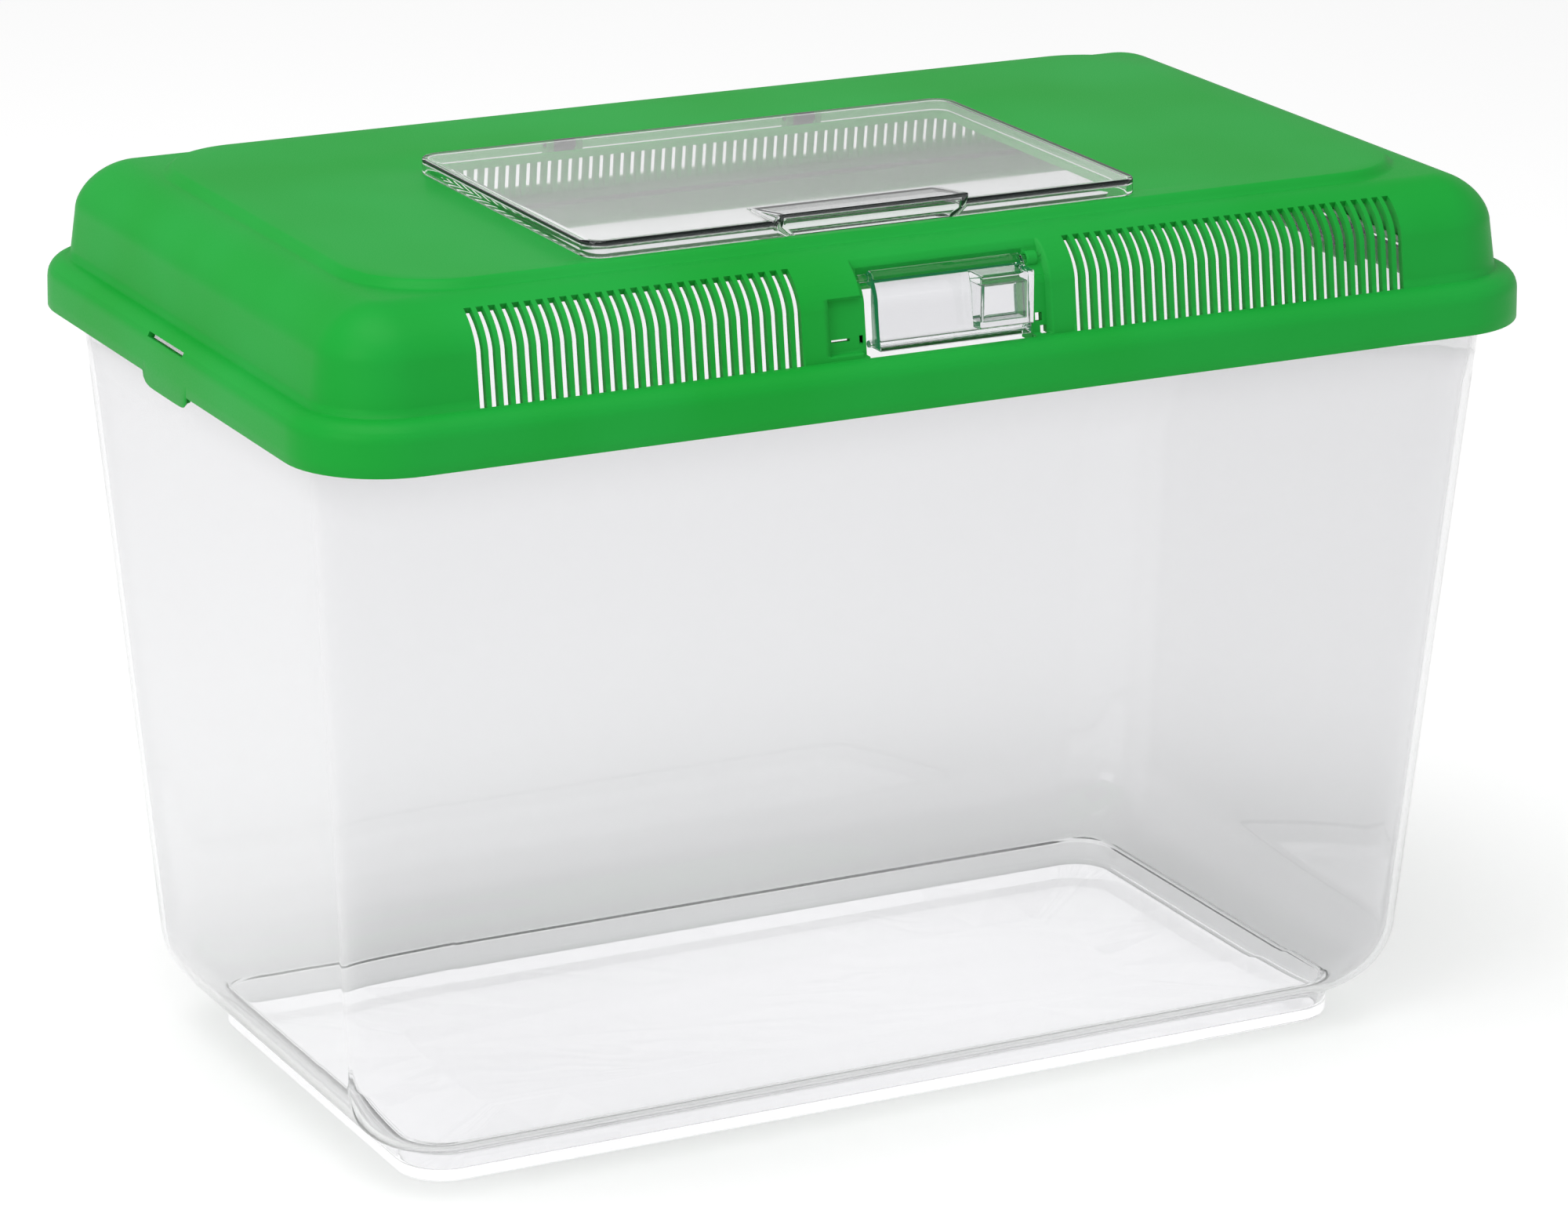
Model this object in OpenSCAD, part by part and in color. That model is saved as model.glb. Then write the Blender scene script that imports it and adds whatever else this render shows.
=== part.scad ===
// Plastic pet keeper: a clear tapered tank, a coloured clip-down lid with rows of
// air slots, a clear top hatch hinged at its back edge and a small clear feeding
// flap hinged along its top edge in the front of the lid.
// Millimetres. X runs along the long front face, +X to the right, -Y is the front,
// +Z is up. The origin is the centre of the foot, on the ground.

/* [Overall] */
// Width over the lid's skirt
width = 370; // [366:1:380]
// Depth over the lid's skirt
depth = 224; // [222:1:232]
// Height of the tank's rim above the ground
rim_z = 224.5; // [200:0.5:250]
// Radius of the lid's vertical corners
corner_r = 27.5; // [26:0.5:30]

/* [Tank] */
// Wall thickness of the clear tank
tank_t = 2.2; // [1.8:0.1:2.6]
// Thickness of the tank's floor
floor_t = 2.5; // [2:0.1:3.5]
// How far the wall stands inside the lid's skirt at the rim
wall_inset = 7.3; // [7:0.1:7.6]
// How far each wall leans in between the rim and the bottom rounding
wall_lean = 13.9; // [11:0.1:15]
// Height at which the bottom rounding starts
round_z = 32; // [28:1:40]
// Reach of the bottom rounding, inwards
round_reach = 22; // [20:0.5:24]
// Height of the foot that the tank stands on
foot_h = 8; // [6:0.5:10]
// How far the foot stands inside the lid's skirt
foot_inset = 38; // [36:0.5:40]
// Radius of the tank's vertical corners
tank_corner_r = 24; // [22:0.5:25]
// Radius of the foot's corners
foot_corner_r = 14; // [12:0.5:16]
// Width of the rim's flange
flange_w = 4.2; // [3:0.1:4.5]
// Depth of the rim's flange
flange_h = 4.5; // [3:0.5:6]

/* [Lid] */
// Wall thickness of the lid
lid_t = 2; // [1.6:0.1:2.2]
// Depth of the skirt below the tank's rim
skirt_drop = 12; // [10:0.5:14]
// Height of the dome's side wall, up to the shoulder
dome_wall_h = 13.1; // [11:0.1:16]
// Height of the rounded shoulder
shoulder_h = 13.6; // [12:0.1:16]
// Reach of the rounded shoulder, inwards
shoulder_reach = 16.5; // [15:0.5:18]
// Height of the raised field on the lid's top
field_h = 2.2; // [1.5:0.1:2.5]
// Distance from the skirt to the raised field's top edge
field_inset = 28.5; // [27.5:0.5:31]
// Radius of the raised field's corners
field_corner_r = 25; // [15:1:30]

/* [Air slots] */
// Distance between neighbouring slots
slot_pitch = 3.37; // [3.2:0.01:3.4]
// Width of one slot
slot_w = 2; // [1.4:0.1:2.2]
// Slots in a full row, at the back
row_slots = 83; // [73:2:83]
// Slots at the front, left of the flap
left_slots = 28; // [10:1:28]
// Slots at the front, right of the flap
right_slots = 31; // [10:1:31]
// How far the slots reach in over the shoulder, from the skirt
slot_reach = 16.5; // [13:0.5:18]

/* [Side catches] */
// Width of the tab below the skirt on each short side
tab_w = 32; // [24:1:40]
// Drop of the tab below the skirt
tab_drop = 3.6; // [2:0.2:5]
// Width of the slit in the ledge above the catch
slit_w = 25; // [18:1:28]

/* [Top hatch] */
// Width of the hatch
hatch_w = 166; // [140:1:180]
// Depth of the hatch
hatch_d = 113; // [90:1:114]
// Height of the hatch above the raised field
hatch_h = 4.7; // [4.5:0.1:6]
// Wall thickness of the hatch
hatch_t = 2; // [1.6:0.1:2.2]
// Sideways offset of the hatch from the lid's middle
hatch_x = -14.5; // [-20:0.5:0]
// Distance from the raised field's front edge to the hatch
hatch_front_gap = 1.5; // [1.5:0.5:8]
// Radius of the hatch's corners
hatch_corner_r = 6; // [4:0.5:10]
// Width of the finger tab
pull_w = 57; // [40:1:70]
// Depth of the finger tab's ramp
pull_d = 16; // [12:1:20]
// Rise of the finger tab over the hatch
pull_rise = 2.4; // [1.5:0.1:3]
// Distance between the two hinges
hatch_hinge_span = 75; // [50:1:100]
// Diameter of the hinge pins
hatch_pin_d = 2.2; // [1.8:0.1:2.4]

/* [Feeding flap] */
// Width of the flap
flap_w = 45.4; // [41:0.2:46]
// Sideways offset of the flap from the lid's middle
flap_x = -0.7; // [-2:0.1:0]
// Thickness of the flap
flap_t = 4.5; // [3.6:0.1:4.8]
// Thickness of the hollow grip's walls
grip_t = 1.6; // [1.4:0.1:1.8]
// Gap below the flap's bottom edge
flap_gap = 1.6; // [1.2:0.1:2.2]
// Width of the raised grip at the flap's free right end
grip_w = 16; // [12:0.5:18]
// How far the grip stands out from the flap
grip_out = 3.6; // [2.5:0.1:4.5]
// Diameter of the flap's pins
flap_pin_d = 2.2; // [1.8:0.1:2.4]

/* [Hidden] */
$fn = 48;

seat_gap = 0.1;             // lid's ledge over the tank's rim, hatch over the field
pin_play = 0.2;             // radial play of a pin in its bore
cut = 1;                    // how far a cutter runs past the face that it cuts
lap = 0.4;                  // overlap that joins two shapes of one moulding
corner_steps = 10;          // facets in a quarter turn of the tank's corners
curve_steps = 9;            // facets along a rounding

half_w = width / 2;
half_d = depth / 2;
axis_w = half_w - corner_r; // the lid's corner axes
axis_d = half_d - corner_r;

skirt_z = rim_z - skirt_drop;
round_drop = 3.5;           // from the rim down to where the ledge's rounding starts
skirt_top_z = rim_z - round_drop;
ledge_z = rim_z + seat_gap + lid_t;
ledge_in = 5.6;             // inset at which the ledge's rounding ends
dome_in = 6.6;              // inset of the dome wall's foot
dome_lean = 1.8;            // lean of the dome wall up to the shoulder
shoulder_z = ledge_z + dome_wall_h;
shoulder_in = dome_in + dome_lean;
shoulder_n = 1.75;          // exponent of the shoulder's superellipse
dome_z = shoulder_z + shoulder_h;
field_z = dome_z + field_h;
field_slope = 3.8;          // width of the raised field's sloping edge

// ---------- general shapes ----------

// The corners of a rounded rectangle with n facets in each quarter turn.
function round_rect(hw, hd, r, n) =
    [for (q = [0:3], k = [0:n])
        let (a = q * 90 + k * 90 / n,
             cx = (q == 0 || q == 3) ? hw - r : r - hw,
             cy = (q < 2) ? hd - r : r - hd)
        [cx + r * cos(a), cy + r * sin(a)]];

module plate(hw, hd, r, h) linear_extrude(h) polygon(round_rect(hw, hd, r, 8));

// Carries a profile of [radius, height] points round a rectangle whose corner
// axes stand at +-aw, +-ad. The profile ends on the axis, where cap_z says how
// high the flat middle is.
module carried(aw, ad, profile, cap_z) {
    for (q = [0:3])
        translate([(q == 0 || q == 3) ? aw : -aw, q < 2 ? ad : -ad, 0])
            rotate([0, 0, q * 90]) rotate_extrude(angle = 90) polygon(profile);
    for (s = [0, 180]) rotate([0, 0, s]) {
        translate([-aw, ad, 0]) rotate([90, 0, 90]) linear_extrude(2 * aw) polygon(profile);
        translate([aw, ad, 0]) rotate([90, 0, 0]) linear_extrude(2 * ad) polygon(profile);
    }
    translate([-aw, -ad, cap_z[0]]) cube([2 * aw, 2 * ad, cap_z[1] - cap_z[0]]);
}

// A shape drawn in the YZ plane, with y and z as given, extruded from x0 to x1.
module across(x0, x1, points)
    translate([x0, 0, 0]) rotate([90, 0, 90]) linear_extrude(x1 - x0) polygon(points);

// A cylinder along X.
module rod(x0, x1, y, z, d)
    translate([x0, y, z]) rotate([0, 90, 0]) cylinder(h = x1 - x0, d = d);

// A box from its two opposite corners.
module span(a, b) translate(a) cube(b - a);

// ---------- tank ----------

foot_hw = half_w - foot_inset;
foot_hd = half_d - foot_inset;
round_h = round_z - foot_h;

// Inset of the wall's outer face from the skirt at height z.
function wall_in(z) = wall_inset + wall_lean * (rim_z - z) / (rim_z - round_z);

// Half sizes, corner radius and height of the outline at height z on the wall,
// t inside its outer face.
function wall_ring(z, t) =
    [half_w - wall_in(z) - t, half_d - wall_in(z) - t, tank_corner_r - t, z];

// The same at angle a down the bottom rounding. The corners tighten towards the foot.
function round_ring(a, t) =
    let (i = wall_in(round_z) + round_reach - (round_reach - t) * cos(a),
         r = tank_corner_r - t - (tank_corner_r - foot_corner_r) * (1 - cos(a)))
    [half_w - i, half_d - i, r, round_z - (round_h - t) * sin(a)];

// The convex body through a stack of rounded outlines.
module stack(rings)
    hull() for (g = rings)
        translate([0, 0, g[3]]) linear_extrude(0.01)
            polygon(round_rect(g[0], g[1], g[2], corner_steps));

module tank_body(t, top)
    stack([wall_ring(top, t), wall_ring(round_z, t),
           for (k = [1:curve_steps]) round_ring(k * 90 / curve_steps, t)]);

foot_edge = 1.6;            // rounding of the foot's bottom edge
lug_hw = 11;                // half width of a catch lug
lug_up = 1;                 // underside of a catch lug above the lid's skirt
lug_z = skirt_z + lug_up;
lug_h = 3.2;
lug_gap = 0.4;              // between the lug and the lid's hook

module tank() color([0.86, 0.88, 0.88, 0.35]) {
    difference() {
        union() {
            tank_body(0, rim_z - 0.01);
            carried(foot_hw - foot_corner_r, foot_hd - foot_corner_r,
                [[0, 0], [foot_corner_r - foot_edge, 0],
                 for (a = [30:30:90]) [foot_corner_r - foot_edge * (1 - sin(a)), foot_edge * (1 - cos(a))],
                 [foot_corner_r, foot_h + 2], [0, foot_h + 2]], [0, foot_h + 2]);
            carried(half_w - wall_in(rim_z) - tank_corner_r, half_d - wall_in(rim_z) - tank_corner_r,
                [[0, rim_z - flange_h], [tank_corner_r, rim_z - flange_h],
                 [tank_corner_r + flange_w, rim_z - flange_h + 0.8], [tank_corner_r + flange_w, rim_z - 3],
                 [tank_corner_r + flange_w - 0.7, rim_z - 1], [tank_corner_r + flange_w - 2, rim_z],
                 [0, rim_z]], [rim_z - flange_h, rim_z]);
            for (s = [-1, 1]) catch_lug(s);
        }
        tank_body(tank_t, rim_z + cut);
        translate([0, 0, floor_t])
            plate(foot_hw - tank_t, foot_hd - tank_t, foot_corner_r - tank_t, round_z - floor_t);
    }
}

// A small lug on the short side, under which the lid's hook sits.
module catch_lug(s) {
    wall_x = half_w - wall_in(lug_z) - 1;
    out_x = hook_x - lug_gap;
    rotate([0, 0, s > 0 ? 0 : 180]) rotate([90, 0, 0]) translate([0, 0, -lug_hw])
        linear_extrude(2 * lug_hw) polygon([[wall_x, lug_z], [out_x - 0.8, lug_z],
            [out_x, lug_z + 0.8], [out_x, lug_z + 1.4], [wall_x, lug_z + lug_h]]);
}

// ---------- lid ----------

// Point on the dome's surface at angle a over the shoulder, t below the outside,
// as [inset from the skirt, height].
function shoulder(a, t) =
    [shoulder_in + shoulder_reach - (shoulder_reach - t) * pow(abs(cos(a)), 2 / shoulder_n),
     shoulder_z + (shoulder_h - t) * pow(abs(sin(a)), 2 / shoulder_n)];

// The dome's surface t below the outside, from its foot to the flat top.
function dome(t) = [[dome_in + t, ledge_z], [shoulder_in + t, shoulder_z],
    for (k = [1:curve_steps]) shoulder(k * 90 / curve_steps, t)];

// The rounded ledge's surface t below the outside, from the skirt's bottom edge.
function ledge(t) = [[t, skirt_z], [t + 0.15, skirt_top_z],
    for (a = [18:18:90]) [ledge_in - (ledge_in - t - 0.15) * cos(a),
                          skirt_top_z + (ledge_z - t - skirt_top_z) * sin(a)]];

function reversed(v) = [for (k = [len(v) - 1:-1:0]) v[k]];

// Turns insets into radii about the lid's corner axis.
function radii(v) = [for (p = v) [corner_r - p[0], p[1]]];

// Turns insets into y positions at the front of the lid.
function front(v) = [for (p = v) [p[0] - half_d, p[1]]];

lid_outside = concat(ledge(0), dome(0), [[corner_r, dome_z]]);
lid_inside = concat(ledge(lid_t), [[dome_in + lid_t, ledge_z - lid_t]],
                    [for (k = [1:len(dome(lid_t)) - 1]) dome(lid_t)[k]],
                    [[corner_r, dome_z - lid_t]]);

hook_in = 0.6;              // how far a catch hook stands in from the skirt
hook_h = 2.2;
hook_w = slit_w - 2;
hook_x = half_w - lid_t - hook_in;
hook_z = lug_z - lug_gap;   // top of the hook
slit_h = 1.3;
slit_up = 1.9;              // height of the slit above the start of the ledge's rounding
slit_z = skirt_top_z + slit_up;

hatch_y0 = field_inset - half_d + hatch_front_gap;
hatch_y1 = hatch_y0 + hatch_d;
hatch_mid_y = (hatch_y0 + hatch_y1) / 2;
hatch_z = field_z + hatch_h;
hinge_back = 2.2;           // from the hatch's back edge to its hinge axis
hinge_up = 2;               // from the raised field up to the hinge axis
hinge_y = hatch_y1 + hinge_back;
hinge_z = field_z + hinge_up;
hinge_xs = [hatch_x - hatch_hinge_span / 2, hatch_x + hatch_hinge_span / 2];
ear_w = 6;
lug_t = 2.2;
lug_r = 1.9;
side_play = 0.3;

module field()
    carried(half_w - field_inset - field_corner_r, half_d - field_inset - field_corner_r,
        [[0, dome_z - 0.05], [field_corner_r + field_slope, dome_z - 0.05],
         [field_corner_r + field_slope * 0.72, dome_z + field_h * 0.2],
         [field_corner_r + field_slope * 0.28, dome_z + field_h * 0.8],
         [field_corner_r, field_z], [0, field_z]], [dome_z - 0.05, field_z]);

module air_slots() {
    first = -(row_slots - 1) / 2 * slot_pitch;
    last = row_slots - 1;
    front_row = concat([for (k = [0:left_slots - 1]) k], [for (k = [last - right_slots + 1:last]) k]);
    for (k = front_row) air_slot(first + k * slot_pitch, -1);
    for (k = [0:last]) air_slot(first + k * slot_pitch, 1);
}

module air_slot(x, s)
    span([x - slot_w / 2, s > 0 ? half_d - slot_reach : -half_d - cut, ledge_z],
         [x + slot_w / 2, s > 0 ? half_d + cut : slot_reach - half_d, dome_z + cut]);

// A tab below the skirt on each short side, with a hook on its inner face.
module side_tab(s) {
    root_x = half_w - lid_t + 0.2;
    rotate([0, 0, s > 0 ? 0 : 180]) {
        translate([half_w, 0, skirt_z]) rotate([90, 0, -90]) linear_extrude(lid_t)
            polygon([for (m = [-1, 1], k = m < 0 ? [0:4] : [4:-1:0]) let (a = k * 22.5)
                [m * (tab_w / 2 - tab_drop * (1 - cos(a))), k == 0 ? 0.5 : -tab_drop * sin(a)]]);
        translate([0, hook_w / 2, hook_z]) rotate([90, 0, 0]) linear_extrude(hook_w)
            polygon([[root_x, -hook_h], [hook_x, hook_in - hook_h], [hook_x, -hook_in / 2], [root_x, 0]]);
    }
}

// The slit in the ledge above each hook.
module side_slit(s)
    rotate([0, 0, s > 0 ? 0 : 180])
        translate([half_w - lid_t - cut, -slit_w / 2, slit_z]) cube([lid_t + 2 * cut, slit_w, slit_h]);

// Two bored lugs for each hinge of the hatch.
module hatch_lugs()
    for (x = hinge_xs, s = [-1, 1])
        translate([x + s * (ear_w / 2 + side_play + lug_t / 2), hinge_y, 0]) {
            rotate([0, 90, 0]) translate([-hinge_z, 0, -lug_t / 2]) cylinder(h = lug_t, r = lug_r);
            translate([-lug_t / 2, -lug_r, field_z - lap]) cube([lug_t, 2 * lug_r, hinge_z - field_z + lap]);
        }

module hatch_bores()
    for (x = hinge_xs)
        rod(x - ear_w / 2 - side_play - lug_t - cut, x + ear_w / 2 + side_play + lug_t + cut,
            hinge_y, hinge_z, hatch_pin_d + 2 * pin_play);

// ---------- seat of the feeding flap in the lid's front ----------

flap_x0 = flap_x - flap_w / 2;
flap_x1 = flap_x + flap_w / 2;
left_gap = 3.1;             // beside the flap
right_gap = 1.5;
door_x0 = flap_x0 - left_gap; // the opening in the lid
door_x1 = flap_x1 + right_gap;
seat_land = [1.7, 4.5];     // seat to the left and right of the opening
seat_x0 = door_x0 - seat_land[0];
seat_x1 = door_x1 + seat_land[1];
seat_t = 2;                 // depth of the seat
seat_in = 15.5;             // how far the seat reaches in over the shoulder
seat_band = 3;              // thick band of wall above the seat
jamb_w = [2.2, 0.9];        // deep jambs to the left and right of the opening
jamb_d = 8;                 // how deep they reach below the dome's surface
pocket_w = 10;              // sunken pocket to the left of the seat
pocket_x = seat_x0 - pocket_w;
pocket_up = 1.4;            // height of the pocket's foot above the ledge
pocket_z = ledge_z + pocket_up;
pocket_h = 15.3;
sill_drop = 0.6;            // how far the opening is cut below the ledge
sill_z = ledge_z - sill_drop;
sill_in = 0.3;              // how far the sill is cut back into the ledge
barrel_r = 1.9;
barrel_deep = 0.35;         // how far the barrel lies below the dome's surface
groove_gap = 0.45;          // around the barrel
groove_t = 1.8;             // wall behind the barrel's groove
groove_foot = 2.8;          // how far that wall reaches below the barrel's axis
flap_axis = front([shoulder(38, barrel_r + barrel_deep)])[0];
pin_reach = [6.2, 4.3];     // how far the flap's pins stand out at each side
pin_end_gap = 0.9;
knuckle_w = 3.2;

// Small moulding windows beside the flap: distance from the opening's left or right
// edge, width, height above the ledge, height.
windows_left = [[-10.3, 5.6, 4.8, 0.7], [-2, 1.1, 3.5, 2.4]];
windows_right = [[1, 1.2, 3.7, 2], [2.4, 1.1, 0.2, 1.8]];
window_in = 14;             // how far their cutters run in from the skirt

// The band between two depths below the dome's surface, at the front.
module dome_band(x0, x1, t0, t1)
    across(x0, x1, concat(front(dome(t0)), reversed(front(dome(t1)))));

module flap_seat_add() {
    x0 = pocket_x - lid_t;
    x1 = seat_x1 + lid_t;
    difference() {
        dome_band(x0, x1, lid_t - lap, seat_t + lid_t);
        span([-half_w, seat_in + seat_band - half_d, 0], [half_w, 0, dome_z + cut]);
    }
    span([x0, dome_in + lid_t - half_d - lap, ledge_z - lid_t],
         [x1, dome_in + lid_t + seat_t - half_d, ledge_z + lap]);
    intersection() {
        rod(x0, x1, flap_axis[0], flap_axis[1], 2 * (barrel_r + groove_gap + groove_t));
        dome_band(x0, x1, lid_t - lap, 3 * lid_t + seat_t);
        span([-half_w, flap_axis[0] + barrel_r, flap_axis[1] - groove_foot], [half_w, 0, dome_z]);
    }
    for (x = [[door_x0 - jamb_w[0], door_x0], [door_x1, door_x1 + jamb_w[1]]])
        intersection() {
            dome_band(x[0], x[1], lid_t - lap, jamb_d);
            span([x[0], -half_d, ledge_z - lid_t], [x[1], seat_in - half_d, dome_z]);
        }
}

module flap_seat_cut() {
    intersection() {
        dome_band(seat_x0, seat_x1, -cut, seat_t);
        span([-half_w, -half_d - cut, ledge_z + lap / 2], [half_w, seat_in - half_d, dome_z + cut]);
    }
    intersection() {
        dome_band(pocket_x, seat_x0 + cut, -cut, seat_t);
        span([-half_w, -half_d - cut, pocket_z], [half_w, 0, pocket_z + pocket_h]);
    }
    span([door_x0, dome_in - sill_in - half_d, sill_z], [door_x1, seat_in - half_d, flap_axis[1]]);
    rod(door_x0, door_x1, flap_axis[0], flap_axis[1], 2 * (barrel_r + groove_gap));
    rod(flap_x0 - pin_reach[0] - pin_end_gap, flap_x1 + pin_reach[1] + pin_end_gap,
        flap_axis[0], flap_axis[1], flap_pin_d + 2 * pin_play);
    for (w = windows_left) window(door_x0 + w[0], w);
    for (w = windows_right) window(door_x1 + w[0], w);
}

module window(x, w)
    span([x, -half_d, ledge_z + w[2]], [x + w[1], window_in - half_d, ledge_z + w[2] + w[3]]);

// A knuckle for the right pin, standing in the seat.
module flap_knuckle()
    difference() {
        rod(door_x1, door_x1 + knuckle_w, flap_axis[0], flap_axis[1], 2 * barrel_r + lap);
        rod(door_x1 - cut, door_x1 + knuckle_w + cut, flap_axis[0], flap_axis[1], flap_pin_d + 2 * pin_play);
    }

module lid() color([0.13, 0.63, 0.25]) {
    difference() {
        union() {
            difference() {
                union() {
                    carried(axis_w, axis_d, concat(radii(lid_outside), reversed(radii(lid_inside))),
                            [dome_z - lid_t, dome_z]);
                    field();
                }
                field_hollow();
                air_slots();
            }
            flap_seat_add();
            for (s = [-1, 1]) side_tab(s);
            hatch_lugs();
        }
        flap_seat_cut();
        hatch_bores();
        for (s = [-1, 1]) side_slit(s);
        translate([hatch_x, hatch_mid_y, dome_z - lid_t - cut])
            plate(hatch_w / 2 - hatch_t, hatch_d / 2 - hatch_t, hatch_corner_r - hatch_t,
                  field_h + lid_t + 2 * cut);
    }
    flap_knuckle();
}

module field_hollow()
    translate([0, 0, dome_z - lid_t - cut])
        plate(half_w - field_inset - 1, half_d - field_inset - 1, field_corner_r - 1, field_h + cut);

// ---------- top hatch ----------

hatch_edge = 0.8;           // rounding of the hatch's top edge

module top_hatch() color([0.9, 0.92, 0.92, 0.35]) {
    foot_z = field_z + seat_gap;
    difference() {
        union() {
            translate([hatch_x, hatch_mid_y, 0])
                carried(hatch_w / 2 - hatch_corner_r, hatch_d / 2 - hatch_corner_r,
                    [[0, hatch_z], [hatch_corner_r - hatch_edge, hatch_z],
                     [hatch_corner_r - hatch_edge * 0.3, hatch_z - hatch_edge * 0.3],
                     [hatch_corner_r, hatch_z - hatch_edge], [hatch_corner_r, foot_z],
                     [hatch_corner_r - hatch_t, foot_z], [hatch_corner_r - hatch_t, hatch_z - hatch_t],
                     [0, hatch_z - hatch_t]], [hatch_z - hatch_t, hatch_z]);
            pull_outside(foot_z);
        }
        pull_inside(foot_z);
    }
    for (x = hinge_xs) hatch_ear(x);
}

pull_lip = 2.5;             // how far the finger tab stands out in front of the hatch
pull_cut = 4.4;             // cut-off lower corners of the tab's front

// The finger tab: a hollow ramp that rises to the front edge and turns down over
// it, with its lower corners cut off.
module pull_outside(foot_z)
    intersection() {
        across(hatch_x - pull_w / 2, hatch_x + pull_w / 2,
            [[hatch_y0 + pull_d, hatch_z - lap], [hatch_y0 + pull_d, hatch_z],
             [hatch_y0 - pull_lip * 0.4, hatch_z + pull_rise],
             [hatch_y0 - pull_lip * 0.8, hatch_z + pull_rise - 0.3],
             [hatch_y0 - pull_lip, hatch_z + pull_rise - 1],
             [hatch_y0 - pull_lip * 0.4, foot_z + lap],
             [hatch_y0 + hatch_t, foot_z + lap], [hatch_y0 + hatch_t, hatch_z - lap]]);
        translate([hatch_x, hatch_y0 + pull_d + cut, 0]) rotate([90, 0, 0])
            linear_extrude(pull_d + 2 * pull_lip) polygon([for (m = [-1, 1], k = m < 0 ? [0:2] : [2:-1:0])
                [m * (pull_w / 2 - (k == 2 ? pull_cut : 0)),
                 [hatch_z + pull_rise + cut, hatch_z - 2 * lap, foot_z][k]]]);
    }

module pull_inside(foot_z)
    across(hatch_x - pull_w / 2 + hatch_t, hatch_x + pull_w / 2 - hatch_t,
        [[hatch_y0 + pull_d, hatch_z - hatch_t - cut], [hatch_y0 + pull_d - 2, hatch_z - hatch_t + lap],
         [hatch_y0 + hatch_t - pull_lip, hatch_z + pull_rise - hatch_t], [hatch_y0 + lap, foot_z + 1.5],
         [hatch_y0 + cut, foot_z - cut], [hatch_y0 + hatch_t + cut, foot_z - cut]]);

// An ear with a stub pin on each side, behind the hatch's back edge.
module hatch_ear(x) {
    ear_r = lug_r - 0.1;
    rod(x - ear_w / 2, x + ear_w / 2, hinge_y, hinge_z, 2 * ear_r);
    span([x - ear_w / 2, hatch_y1 - cut, hinge_z - ear_r / 2], [x + ear_w / 2, hinge_y, hinge_z + ear_r]);
    rod(x - ear_w / 2 - side_play - lug_t, x + ear_w / 2 + side_play + lug_t, hinge_y, hinge_z, hatch_pin_d);
}

// ---------- feeding flap ----------

flap_z0 = sill_z + flap_gap;
plate_end = 1.2;            // from there the flap's plate runs into its barrel
flap_y1 = flap_axis[0] - plate_end;
grip_side = 0.2;            // between the grip and the flap's right edge
grip_up = 4.6;              // height of the grip's foot above the ledge
grip_x1 = flap_x1 - grip_side;
grip_z0 = ledge_z + grip_up;
grip_h = 14.6;
grip_roof = 2.8;            // thickness of the grip's top wall
stub_d = 2;                 // side stubs that click past the jambs
stub_gap = 0.4;

// The dome's curve from the flap's bottom edge to its hinge barrel, between depths t0 and t1.
module flap_band(x0, x1, t0, t1)
    intersection() {
        dome_band(x0, x1, t0, t1);
        span([x0, -half_d, flap_z0], [x1, flap_y1, dome_z]);
    }

module feeding_flap() color([0.9, 0.92, 0.92, 0.35]) {
    grip_y = dome_in + lap - grip_out - half_d;
    difference() {
        union() {
            flap_band(flap_x0, flap_x1, 0, flap_t);
            intersection() {
                span([grip_x1 - grip_w, grip_y, grip_z0], [grip_x1, flap_y1, grip_z0 + grip_h]);
                dome_band(grip_x1 - grip_w, grip_x1, -2 * grip_out, lap);
            }
            rod(flap_x0, flap_x1, flap_axis[0], flap_axis[1], 2 * barrel_r);
        }
        span([grip_x1 - grip_w + grip_t, grip_y + grip_t, grip_z0 + grip_t],
             [grip_x1 - grip_t, flap_y1 + cut, grip_z0 + grip_h - grip_roof]);
    }
    rod(flap_x0 - pin_reach[0], flap_x0 + cut, flap_axis[0], flap_axis[1], flap_pin_d);
    rod(flap_x1 - cut, flap_x1 + pin_reach[1], flap_axis[0], flap_axis[1], flap_pin_d);
    stub_y = dome_in + flap_t / 2 + lap - half_d;
    rod(door_x0 + stub_gap, flap_x0 + lap, stub_y, flap_z0 + stub_d, stub_d);
    rod(flap_x1 - lap, door_x1 - stub_gap, stub_y, flap_z0 + stub_d, stub_d);
}

tank();
lid();
top_hatch();
feeding_flap();
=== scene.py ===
import bpy, math, mathutils
import numpy as np
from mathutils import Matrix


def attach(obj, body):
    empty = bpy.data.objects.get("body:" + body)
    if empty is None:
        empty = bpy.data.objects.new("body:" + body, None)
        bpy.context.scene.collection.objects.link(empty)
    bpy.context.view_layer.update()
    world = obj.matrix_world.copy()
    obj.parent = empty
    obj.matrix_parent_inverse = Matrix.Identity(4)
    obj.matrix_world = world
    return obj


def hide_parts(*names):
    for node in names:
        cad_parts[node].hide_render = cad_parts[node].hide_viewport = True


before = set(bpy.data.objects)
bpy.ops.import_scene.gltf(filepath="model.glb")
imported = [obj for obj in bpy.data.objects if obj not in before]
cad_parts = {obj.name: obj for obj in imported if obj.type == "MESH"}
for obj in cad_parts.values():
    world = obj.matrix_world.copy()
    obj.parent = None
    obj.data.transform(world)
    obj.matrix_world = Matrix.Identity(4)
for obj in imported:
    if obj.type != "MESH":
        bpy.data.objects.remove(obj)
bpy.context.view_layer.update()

mm = 0.001    # metres in a millimetre
quarterTurn = np.radians(np.linspace(0, 90, 6))
corners = [(1, -1), (1, 1), (-1, 1), (-1, -1)]    # of a rectangle, from the front right, counter-clockwise


# colours and materials

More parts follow.
